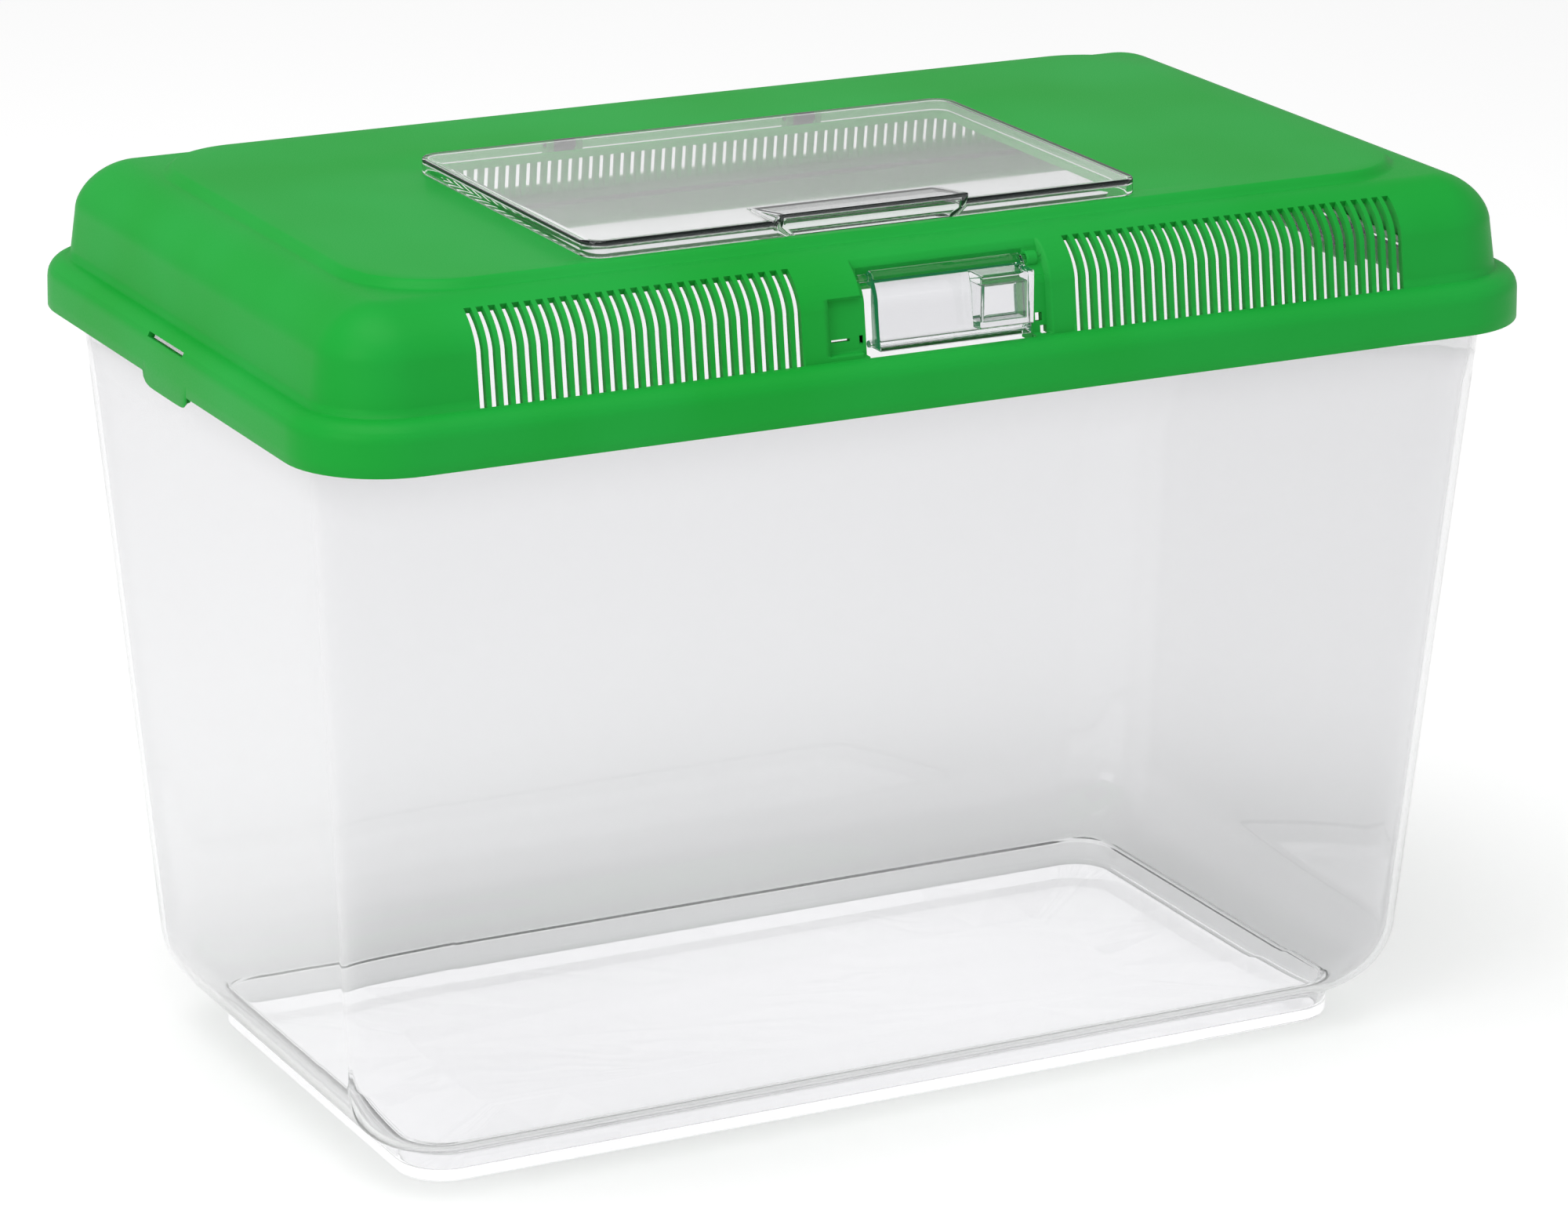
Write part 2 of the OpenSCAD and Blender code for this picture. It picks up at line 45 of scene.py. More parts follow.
def srgb(hexText, alpha=1.0):
    # sRGB hex to the linear colour that shaders take
    c = np.array([int(hexText[i:i + 2], 16) for i in (0, 2, 4)]) / 255
    lin = np.where(c <= 0.04045, c / 12.92, ((c + 0.055) / 1.055) ** 2.4)
    return (*lin.tolist(), alpha)


def addNode(tree, kind, settings=None):
    # one node. A key is an input's name or number, or else a property's name, and an input
    # takes a plain value or another node's output.
    n = tree.nodes.new(kind)
    for key, value in (settings or {}).items():
        if isinstance(key, str) and key not in n.inputs:
            setattr(n, key, value)
        elif isinstance(value, bpy.types.NodeSocket):
            tree.links.new(value, n.inputs[key])
        else:
            n.inputs[key].default_value = value
    return n


def addMath(tree, operation, a, b):
    return addNode(tree, "ShaderNodeMath", {"operation": operation, 0: a, 1: b}).outputs[0]


def mapped(tree, value, span, to=(0, 1)):
    # the value's way through a span, from one number to another
    return addNode(tree, "ShaderNodeMapRange", {"From Min": span[0], "From Max": span[1], "To Min": to[0],
                                                "To Max": to[1], "Value": value}).outputs["Result"]


def noise(tree, size, detail):
    # a pattern of the given size in mm, fixed to the piece
    place = addNode(tree, "ShaderNodeTexCoord").outputs["Object"]
    n = addNode(tree, "ShaderNodeTexNoise", {"Scale": 1 / (size * mm), "Detail": detail, "Vector": place})
    return n.outputs["Fac"]


def bumped(tree, height, depth, strength=1.0):
    return addNode(tree, "ShaderNodeBump", {"Strength": strength, "Distance": depth * mm,
                                            "Height": height}).outputs["Normal"]


def newMaterial(name):
    m = bpy.data.materials.new(name)
    m.use_nodes = True
    m.node_tree.nodes.clear()
    return m, m.node_tree


def finishMaterial(m, tree, shader):
    addNode(tree, "ShaderNodeOutputMaterial", {"Surface": shader.outputs[0]})
    return m


lidLook = {
    "colour": "19A637",        # main green
    "paler": "22AC43",         # where the moulding flowed thinner
    "roughness": 0.45,
    "gloss": 0.12,             # strength of the sheen
    "grainSize": 0.35,         # mm, satin grain of the tool
    "grainDepth": 0.012,       # mm
    "flowSize": 70.0,          # mm, slow change of colour along the moulding
    "drift": 0.05,             # of the roughness, both ways
}


def satinPolypropylene(look):
    # injection-moulded polypropylene: a soft broad sheen from a fine satin grain, and a
    # slow drift of colour where the melt flowed
    m, t = newMaterial("satin injection-moulded polypropylene")
    tone = mapped(t, noise(t, look["flowSize"], 2.0), (0.35, 0.65))
    colour = addNode(t, "ShaderNodeMix", {"data_type": "RGBA", "Factor": tone, 6: srgb(look["colour"]),
                                          7: srgb(look["paler"])})
    grain = noise(t, look["grainSize"], 3.0)
    rough = mapped(t, grain, (0.3, 0.7), (look["roughness"] - look["drift"], look["roughness"] + look["drift"]))
    s = addNode(t, "ShaderNodeBsdfPrincipled", {"IOR": 1.49, "Specular IOR Level": look["gloss"],
                                                "Base Color": colour.outputs[2], "Roughness": rough,
                                                "Normal": bumped(t, grain, look["grainDepth"])})
    return finishMaterial(m, t, s)


clearLook = {
    "tint": "EFEFF0",
    "shade": "E8E8E8",         # of the shadow, for each skin that a lamp shines through
    "paintedShadeAndReflection": "202624",       # painted shade: a dark emission that stands in for the light after many bounces inside the plastic, drawn as dark edges
    "paintedAfterBounces": 6,         # bounces, after which the painted colour replaces the shading
    "roughness": [0.009, 0.024],
    "ior": 1.5,
    "waveSize": 45.0,          # mm, gentle waviness of moulded walls
    "waveDepth": 0.05,         # mm
}


def clearPolystyrene(look, name):
    # polished clear polystyrene: it passes the light with a faint cool tint, bends it at
    # edges and fillets, and has the slow waviness that moulded walls show in reflections
    m, t = newMaterial(name)
    wave = noise(t, look["waveSize"], 1.0)
    s = addNode(t, "ShaderNodeBsdfPrincipled", {"Base Color": srgb(look["tint"]), "IOR": look["ior"],
                                                "Transmission Weight": 1.0,
                                                "Roughness": mapped(t, wave, (0.4, 0.7), look["roughness"]),
                                                "Normal": bumped(t, wave, look["waveDepth"])})
    path = addNode(t, "ShaderNodeLightPath").outputs
    # painted shade: after many bounces inside the plastic the shading is replaced by a fixed emission colour, which
    # draws dark lines along the edges (green on the flap, as a painted reflection of the lid)
    late = addMath(t, "GREATER_THAN", path["Ray Depth"], look["paintedAfterBounces"] - 0.5)
    straight = addMath(t, "LESS_THAN", path["Diffuse Depth"], 0.5)
    paintedShadeAndReflection = addNode(t, "ShaderNodeEmission", {"Color": srgb(look["paintedShadeAndReflection"])})
    inner = addNode(t, "ShaderNodeMixShader", {"Fac": addMath(t, "MULTIPLY", late, straight), 1: s.outputs[0],
                                               2: paintedShadeAndReflection.outputs[0]})
    # lamps shine through it, so that it throws the faint shadow of clear plastic
    through = addNode(t, "ShaderNodeBsdfTransparent", {"Color": srgb(look["shade"])})
    both = addNode(t, "ShaderNodeMixShader", {"Fac": path["Is Shadow Ray"], 1: inner.outputs[0],
                                              2: through.outputs[0]})
    return finishMaterial(m, t, both)


green = satinPolypropylene(lidLook)
clearTank = clearPolystyrene(clearLook, "clear injection-moulded polystyrene")
# the hatch's painted shade: the dark emission takes over after fewer bounces
clearHatch = clearPolystyrene({**clearLook, "tint": "F8F9F9", "shade": "F6F6F6", "waveDepth": 0.03, "paintedAfterBounces": 4},
                              "clear polystyrene of the hatch")
# the flap's painted reflection: a green emission after many bounces, in place of the lid's green jamb seen by total
# reflection
clearFlap = clearPolystyrene({**clearLook, "tint": "F1F1F3", "waveDepth": 0.02, "paintedShadeAndReflection": "1E7446", "paintedAfterBounces": 5},
                             "clear polystyrene of the feeding flap")


# surfaces

def gridFaces(rows, cols, closed=True):
    # quads between neighbouring rows and columns of a grid, as [row, column, 4]
    r, c = np.meshgrid(np.arange(rows - 1), np.arange(cols if closed else cols - 1), indexing="ij")
    a = r * cols + c
    b = r * cols + (c + 1) % cols
    return np.stack([a, b, b + cols, a + cols], -1)


def inwardCopy(points, quads, thickness):
    # every point moved against its mean normal, by thickness over the mean cosine
    # between that normal and its faces, so that flat walls keep their thickness. A face's
    # normal is the cross product of its diagonals.
    n = np.cross(points[quads[:, 2]] - points[quads[:, 0]], points[quads[:, 3]] - points[quads[:, 1]])
    unit = n / np.maximum(np.linalg.norm(n, axis=1, keepdims=True), 1e-20)
    total = np.zeros_like(points)
    for k in range(4):
        np.add.at(total, quads[:, k], unit)
    total /= np.maximum(np.linalg.norm(total, axis=1, keepdims=True), 1e-20)
    cosine = np.zeros(len(points))
    count = np.zeros(len(points))
    for k in range(4):
        np.add.at(cosine, quads[:, k], np.einsum("ij,ij->i", total[quads[:, k]], unit))
        np.add.at(count, quads[:, k], 1)
    return points - total * (thickness / np.clip(cosine / np.maximum(count, 1), 0.6, 1))[:, None]


def rimQuads(quads, points, inner):
    # walls between the two skins along every edge that only one face uses
    edges = np.concatenate([quads[:, [k, (k + 1) % 4]] for k in range(4)])
    key = np.sort(edges, axis=1)
    _, first, count = np.unique(key, axis=0, return_index=True, return_counts=True)
    e = edges[first[count == 1]]
    corners = np.stack([points[e[:, 1]], points[e[:, 0]], inner[e[:, 0]], inner[e[:, 1]]], 1)
    return corners.reshape(-1, 3), np.arange(len(e) * 4).reshape(-1, 4)


def shell(outer, inner, quads):
    # both skins and the walls between them, as parts of a piece
    rimP, rimQ = rimQuads(quads, outer, inner)
    return [[outer, [quads], True], [inner, [quads[:, ::-1]], True], [rimP, [rimQ], False]]


def buildPiece(name, parts, material, body, nodes=()):
    # parts: [points in mm, list of face arrays, smooth], joined into one mesh
    points, faces, smooth, start = [], [], [], 0
    for p, polys, soft in parts:
        points.append(np.asarray(p, float))
        for f in polys:
            f = np.asarray(f)
            faces.extend((f + start).tolist())
            smooth.extend([soft] * len(f))
        start += len(p)
    points = np.concatenate(points)
    used = np.zeros(len(points), bool)
    used[np.concatenate([np.asarray(f) for f in faces])] = True
    number = np.cumsum(used) - 1
    mesh = bpy.data.meshes.new(name)
    mesh.from_pydata((points[used] * mm).tolist(), [], [number[f].tolist() for f in faces])
    mesh.polygons.foreach_set("use_smooth", smooth)
    mesh.update()
    mesh.validate()
    piece = bpy.data.objects.new(name, mesh)
    bpy.context.scene.collection.objects.link(piece)
    mesh.materials.append(material)
    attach(piece, body)
    if nodes:
        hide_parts(*nodes)
    return piece


def outward(part):
    # faces of a closed solid turned so that its volume, the sum of p0 . (p1 x p2) / 6
    # over its triangles, is positive
    points, polys, _ = part
    centred = points - points.mean(0)
    volume = 0.0
    for f in polys:
        f = np.asarray(f)
        for k in range(1, f.shape[1] - 1):
            volume += np.einsum("ij,ij->", centred[f[:, 0]], np.cross(centred[f[:, k]], centred[f[:, k + 1]]))
    if volume < 0:
        part[1] = [np.asarray(f)[:, ::-1] for f in polys]
    return part


def loft(sections, smooth=False):
    # sections: [section, point, 3], joined by quads and closed by a cap at each end
    s = np.asarray(sections, float)
    n, m = s.shape[:2]
    return outward([s.reshape(-1, 3), [gridFaces(n, m).reshape(-1, 4)] + ringCaps(n, m), smooth])


def narrowed(outline, centre, edge):
    # every point moved towards the centre by the edge's width
    away = outline - centre
    return centre + away * (1 - edge / np.linalg.norm(away, axis=1, keepdims=True))


def pierced(outline, hole, place, axis, thickness, edge):
    # a plate between an outline and a hole with as many points: rows run from the hole
    # over one face, round the outside with an edge of 45 degrees, and back under
    o, h = np.asarray(outline, float), np.asarray(hole, float)
    small, half = narrowed(o, h.mean(0), edge), thickness / 2
    rows = [(h, half), (small, half), (o, half - edge), (o, edge - half), (small, -half), (h, -half), (h, half)]
    other = [k for k in range(3) if k != axis]
    points = np.zeros((len(rows), len(o), 3))
    for k, (q, t) in enumerate(rows):
        points[k][:, other] = q
        points[k][:, axis] = t
    return outward([points.reshape(-1, 3) + place, [gridFaces(len(rows), len(o)).reshape(-1, 4)], False])


def prism(outline, axis, start, end, edge):
    # an outline carried along one axis, with narrower sections at both ends
    o = np.asarray(outline, float)
    small = narrowed(o, o.mean(0), edge)
    other = [k for k in range(3) if k != axis]
    s = np.zeros((4, len(o), 3))
    for k, (q, t) in enumerate([(small, start), (o, start + edge), (o, end - edge), (small, end)]):
        s[k][:, other] = q
        s[k][:, axis] = t
    return loft(s)


def circle(y, z, r, n=24):
    a = np.linspace(0, 2 * np.pi, n, endpoint=False)
    return np.stack([y + r * np.cos(a), z + r * np.sin(a)], 1)


def atX(x, outline):
    # an outline in the YZ plane, as points at one x
    return np.column_stack([np.full(len(outline), x), outline])


def ringCaps(rows, cols):
    # one face over the first ring and one over the last
    return [[np.arange(cols)[::-1].tolist()], [((rows - 1) * cols + np.arange(cols)).tolist()]]


def pin(start, end, y, z, r, n=20):
    # a round pin along X with a rounded free end at the end side
    step = math.copysign(1, end - start)
    rows = [(start, r), (end - step * 0.5, r), (end - step * 0.15, r - 0.15), (end, r - 0.5)]
    return loft([atX(x, circle(y, z, q, n)) for x, q in rows])


def roundedPath(marks, steps=5):
    # marks: [a, b, radius]. Each corner is replaced by an arc-like curve: a quadratic
    # Bezier from one tangent point to the other, p = (1-t)^2 A + 2 t (1-t) C + t^2 B
    c = [np.array(q[:2], float) for q in marks]
    out = [c[0]]
    for k in range(1, len(c) - 1):
        r = marks[k][2]
        if r <= 0:
            out.append(c[k])
            continue
        before, after = c[k - 1] - c[k], c[k + 1] - c[k]
        la, lb = np.linalg.norm(before), np.linalg.norm(after)
        turn = math.pi - math.acos(np.clip(before @ after / (la * lb), -1, 1))
        reach = min(r * math.tan(turn / 2), la * 0.48, lb * 0.48)
        a, b = c[k] + before / la * reach, c[k] + after / lb * reach
        for t in np.linspace(0, 1, steps + 1):
            out.append((1 - t) ** 2 * a + 2 * t * (1 - t) * c[k] + t * t * b)
    out.append(c[-1])
    return np.array(out)


def bend(inset, z, across, up, turns=quarterTurn):
    # a rounding beside a corner: [inset + across (1 - sin a), z + up (1 - cos a)]
    return [[inset + across * (1 - math.sin(a)), z + up * (1 - math.cos(a))] for a in turns]


def outlineColumns(quarter, alongX, alongY):
    # columns round a rounded rectangle, counter-clockwise seen from above and starting
    # at the front right: weights on (half size - radius), and the corner angle
    cols = []
    for q, (sx, sy) in enumerate(corners):
        a0 = q * 90 - 90
        for k in range(quarter + 1):
            cols.append((sx, sy, a0 + 90 * k / quarter))
        side = alongY if q % 2 == 0 else alongX
        for f in np.linspace(0, 1, side + 2)[1:-1]:
            along = 1 - 2 * f
            cols.append([(1, -along, 0), (along, 1, 90), (-1, along, 180), (-along, -1, 270)][q])
    return np.array(cols, float)


def cornerColumns(ax, ay, steps, sides):
    # the same with places of one's own: [x, y, angle], where each corner's centre comes
    # with all its angles, and then the places along the side that follows it
    cols = []
    for q, (sx, sy) in enumerate(corners):
        cols += [(sx * ax, sy * ay, a) for a in np.linspace(q * 90 - 90, q * 90, steps)] + sides[q]
    return np.array(cols, float)


def cornerRings(cols, r, z, centre=(0, 0)):
    # point(row, column) = centre + place + r * (cos a, sin a), at the row's height
    a = np.radians(cols[:, 2])
    x = centre[0] + cols[:, 0] + r[:, None] * np.cos(a)
    y = centre[1] + cols[:, 1] + r[:, None] * np.sin(a)
    return np.stack([x, y, np.broadcast_to(z[:, None], x.shape)], -1)


def rings(cols, hw, hd, r, z):
    # point(row, column) = weight * (half size - r) + r * (cos a, sin a), at the row's height
    a = np.radians(cols[:, 2])
    x = cols[:, 0] * (hw - r)[:, None] + r[:, None] * np.cos(a)
    y = cols[:, 1] * (hd - r)[:, None] + r[:, None] * np.sin(a)
    return np.stack([x, y, np.broadcast_to(z[:, None], x.shape)], -1)


# the pieces, with every size in mm. First the sizes that they share.

halfW, halfD = 185.0, 112.0    # lid's skirt
rimZ = 224.5


# tank

tank = {
    "wall": 2.2,
    "floor": 2.5,
    "wallInset": 7.3,
    "lean": 13.9,
    "roundZ": 32.0,
    "roundReach": 22.0,
    "footHeight": 8.0,
    "footInset": 38.0,
    "cornerRadius": 24.0,
    "footRadius": 14.0,
    "footEdge": 1.6,           # rounding of the foot's lower edge
    "innerEdge": 1.8,          # rounding inside, where the foot's wall meets the floor
    "flangeWidth": 4.2,
    "flangeDepth": 4.5,
    "lugZ": 213.5,
    "lugTip": 182.0,
    "lugHalf": 11.0,
    "lugHeight": 3.2,
    "quarterSteps": 16,
}


def tankProfile(t):
    # rows of [inset, corner radius, z] from the middle of the underside, up the outside,
    # over the flange and down the inside to the middle of the floor
    def wallIn(z):
        return t["wallInset"] + t["lean"] * (rimZ - z) / (rimZ - t["roundZ"])

    def rounding(deg, inner):
        a = math.radians(deg)
        height = t["roundZ"] - t["footHeight"]
        i = wallIn(t["roundZ"]) + t["roundReach"] - (t["roundReach"] - inner) * math.cos(a)
        r = t["cornerRadius"] - inner - (t["cornerRadius"] - t["footRadius"]) * (1 - math.cos(a))
        return [i, r, t["roundZ"] - (height - inner) * math.sin(a)]

    foot, fr, wall = t["footInset"], t["footRadius"], t["wall"]
    rows = [[foot + 40, 4, 0], [foot + 12, 8, 0]]
    rows += [[i, foot + fr - i, z] for i, z in bend(foot, 0, t["footEdge"], t["footEdge"])]
    rows += [[foot, fr, 4.5], [foot, fr, 7.6], [foot - 0.08, fr + 0.2, 8.2], [foot - 0.35, fr + 0.9, 8.6],
             [foot - 0.8, fr + 1.8, 8.78]]
    rows += [rounding(a, 0) for a in np.linspace(73, 0, 22)]
    for z in np.linspace(50, rimZ - t["flangeDepth"] - 0.6, 8):
        rows.append([wallIn(z), t["cornerRadius"], z])
    base = wallIn(rimZ)
    edge = roundedPath([[0, -t["flangeDepth"] - 0.6, 0], [0, -t["flangeDepth"], 0.5],
                        [-t["flangeWidth"], -t["flangeDepth"] + 0.8, 0.4], [-t["flangeWidth"], 0, 2.0],
                        [wall, 0, 0.8], [wall, -3, 0]])[1:]
    rows += [[base + i, t["cornerRadius"] - i, rimZ + z] for i, z in edge]
    for z in np.linspace(rimZ - 12, 50, 8):
        rows.append([wallIn(z) + wall, t["cornerRadius"] - wall, z])
    rows += [rounding(a, wall) for a in np.linspace(0, 79, 22)]
    rows += [[foot + wall - 0.55, fr - wall + 1.0, 10.55], [foot + wall - 0.15, fr - wall + 0.4, 10.25],
             [foot + wall, fr - wall, 9.6], [foot + wall, fr - wall, 6.0]]
    rows += [[i, foot + fr - i, z]
             for i, z in bend(foot + wall, t["floor"], t["innerEdge"], t["innerEdge"], quarterTurn[::-1])]
    rows += [[foot + 12, 8, t["floor"]], [foot + 40, 4, t["floor"]]]
    return np.array(rows)


def makeTank(t):
    rows = tankProfile(t)
    cols = outlineColumns(t["quarterSteps"], 10, 6)
    p = rings(cols, halfW - rows[:, 0], halfD - rows[:, 0], rows[:, 1], rows[:, 2])
    nr, nc = p.shape[:2]
    quads = gridFaces(nr, nc).reshape(-1, 4)
    parts = [[p.reshape(-1, 3), [quads] + ringCaps(nr, nc), True]]
    # a lug on each short side, under which the lid's hook sits
    z, tip = t["lugZ"], t["lugTip"]
    wallX = halfW - t["wallInset"] - t["lean"] * (rimZ - z) / (rimZ - t["roundZ"]) - 0.6
    lug = np.array([[wallX, z], [tip - 0.8, z], [tip, z + 0.8], [tip, z + 1.4], [wallX, z + t["lugHeight"]]])
    for side in (-1, 1):
        parts.append(prism(lug * [side, 1], 1, -t["lugHalf"], t["lugHalf"], 0.3))
    return buildPiece("tank_shell", parts, clearTank, "tank", ["tank"])


makeTank(tank)
print("tank made")


# lid

lid = {
    "thickness": 2.0,
    "cornerRadius": 27.5,
    "skirtZ": 212.5,
    "skirtTopZ": 221.0,
    "ledgeInset": 5.6,
    "ledgeZ": 226.6,
    "domeInset": 6.6,
    "domeLean": 1.8,
    "shoulderZ": 239.7,
    "shoulderHeight": 13.6,
    "shoulderReach": 16.5,
    "shoulderPower": 1.75,        # 2 would be an ellipse
    "fieldInset": 28.5,
    "fieldRadius": 25.0,
    "fieldSlope": 3.5,
    "fieldZ": 255.5,
    "slotPitch": 3.37,
    "slotWidth": 2.0,
    "slots": 83,                  # at the back, and the grid of the front's
    "slotsLeft": 28,
    "slotsRight": 31,
    "slotReach": 16.5,
    "tabWidth": 32.0,
    "tabDrop": 3.6,
    "slitHalf": 12.5,             # the slit above a side catch
    "slitZ": [222.9, 224.2],
    "plainX": 142.0,              # beyond the slots, where the columns are plain
    "seatPatch": [-45.6, 35.2],   # x range of the finer surface round the feeding flap
    "patchRows": 3,               # rows below the dome's foot that it takes in
}


def shoulderAt(l, deg):
    # a superellipse: reach * |cos a| ^ (2 / power) and height * |sin a| ^ (2 / power)
    a, power = math.radians(deg), 2 / l["shoulderPower"]
    i = l["domeInset"] + l["domeLean"] + l["shoulderReach"] - l["shoulderReach"] * abs(math.cos(a)) ** power
    return [i, l["shoulderZ"] + l["shoulderHeight"] * abs(math.sin(a)) ** power]


def domeRows(l, steps):
    # [inset, z] from the dome's foot to the end of the shoulder
    rows = [[l["domeInset"] + l["domeLean"] * f, l["ledgeZ"] + (l["shoulderZ"] - l["ledgeZ"]) * f]
            for f in np.linspace(0, 1, 6)]
    marks = list(np.linspace(0, 90, steps + 1)[1:])
    # the slots' inner end gets its own row
    reach = (l["domeInset"] + l["domeLean"] + l["shoulderReach"] - l["slotReach"]) / l["shoulderReach"]
    marks.append(math.degrees(math.acos(reach ** (l["shoulderPower"] / 2))))
    rows += [shoulderAt(l, a) for a in sorted(marks)]
    return rows


def domeCurve(l):
    # y on the front of the dome at height z, deep below the outside: the curve moved
    # along its normal. With z None, the curve's own points as [inset, height].
    fine = np.array(domeRows(l, 60))
    tangent = np.gradient(fine, axis=0)
    tangent /= np.linalg.norm(tangent, axis=1, keepdims=True)
    normal = np.stack([-tangent[:, 1], tangent[:, 0]], 1)

    def at(z, deep):
        q = fine - normal * deep
        return q if z is None else np.interp(z, q[:, 1], q[:, 0]) - halfD

    return at


def lidProfile(l):
    rows = [[0.25, l["skirtZ"]], [0.0, l["skirtZ"] + 0.35], [0.05, l["skirtZ"] + 3.5], [0.15, l["skirtTopZ"]]]
    # an elliptical ledge, with rows of its own at the slit's edges
    base, height, reach = l["skirtTopZ"], l["ledgeZ"] - l["skirtTopZ"], l["ledgeInset"] - 0.15
    turns = [math.radians(a) for a in np.linspace(0, 90, 9)[1:]] + [math.asin((z - base) / height) for z in l["slitZ"]]
    rows += [[l["ledgeInset"] - reach * math.cos(a), base + height * math.sin(a)] for a in sorted(turns)]
    return np.array(rows + domeRows(l, 16))


def nearestOnRect(p, centre, hw, hd, r):
    # the nearest point of a rounded rectangle's outline to each outside point:
    # corner axis plus r along the direction from that axis to the point
    q = p - centre
    s = np.where(q < 0, -1.0, 1.0)
    q = np.abs(q)
    c = np.array([hw - r, hd - r])
    over = np.maximum(q - c, 0)
    n = over / np.maximum(np.linalg.norm(over, axis=-1, keepdims=True), 1e-9)
    return centre + s * (np.minimum(q, c) + n * r)


def slotEdges(l, which):
    first = -(l["slots"] - 1) / 2 * l["slotPitch"]
    x = first + np.array(which) * l["slotPitch"]
    return np.sort(np.concatenate([x - l["slotWidth"] / 2, x + l["slotWidth"] / 2]))


def lidColumns(l):
    # columns at the slots' edges, the slits' ends, round the side tabs and at the seat's patch
    ax, ay = halfW - l["cornerRadius"], halfD - l["cornerRadius"]
    n = l["slots"]
    ends = np.concatenate([np.linspace(-ax, -l["plainX"], 5)[1:], np.linspace(l["plainX"], ax, 5)[:-1]])
    front = np.concatenate([slotEdges(l, range(l["slotsLeft"])), slotEdges(l, range(n - l["slotsRight"], n)), ends,
                            l["seatPatch"]])
    back = np.concatenate([slotEdges(l, range(n)), ends])
    half = l["tabWidth"] / 2
    side = np.sort(np.concatenate([np.linspace(-ay, -half - 6, 6)[1:], np.linspace(half + 6, ay, 6)[:-1],
                                   [-l["slitHalf"], l["slitHalf"]], half * np.cos(np.radians(np.linspace(0, 180, 13))),
                                   [-half - 0.3, half + 0.3]]))
    side = side[np.concatenate([[True], np.diff(side) > 0.05])]
    sides = [[(ax, y, 0) for y in side], [(x, ay, 90) for x in np.sort(back)[::-1]],
             [(-ax, y, 180) for y in side[::-1]], [(x, -ay, 270) for x in np.sort(front)]]
    return cornerColumns(ax, ay, 15, sides)


# the hatch's sizes stand here because the lid's opening follows them
hatch = {
    "width": 166.0,
    "depth": 113.0,
    "x": -14.5,
    "y": -25.5,
    "z": [255.6, 260.2],
    "wall": 1.5,
    "ledge": 2.0,              # how far the lid's opening lies inside the hatch's outline
    "cornerRadius": 6.0,
    "tabWidth": 57.0,
    "tabDepth": 16.0,
    "tabRise": 2.4,
    "tabLip": 2.5,
    "tabCut": 4.4,             # cut-off lower corners of the tab
    "tabBlend": 0.6,           # mm, curve where the ramp leaves the plate
    "tabWall": 0.9,            # thinner than the hatch itself
    "hollowDepth": 3.6,        # mm, the steeper start of the hollow under the ramp
    "edge": 0.8,
    "innerEdge": 0.5,
    "footEdge": 0.3,
    "lipEdge": 0.35,
    "plateRow": 5.5,           # inset where the rounded edge's rows end
    "tabRows": [19.0, 17.5, 16.6, 16.4, 16.2, 16, 15.8, 15.6, 15.2, 14.6, 14, 13.4, 13, 12.8, 12.4, 11, 9, 7],
    "tabLean": 9.0,            # mm from the tab's ends over which its lower corners lean in
    "patch": [-46.0, 17.0],    # x range of the finer surface with the tab
}


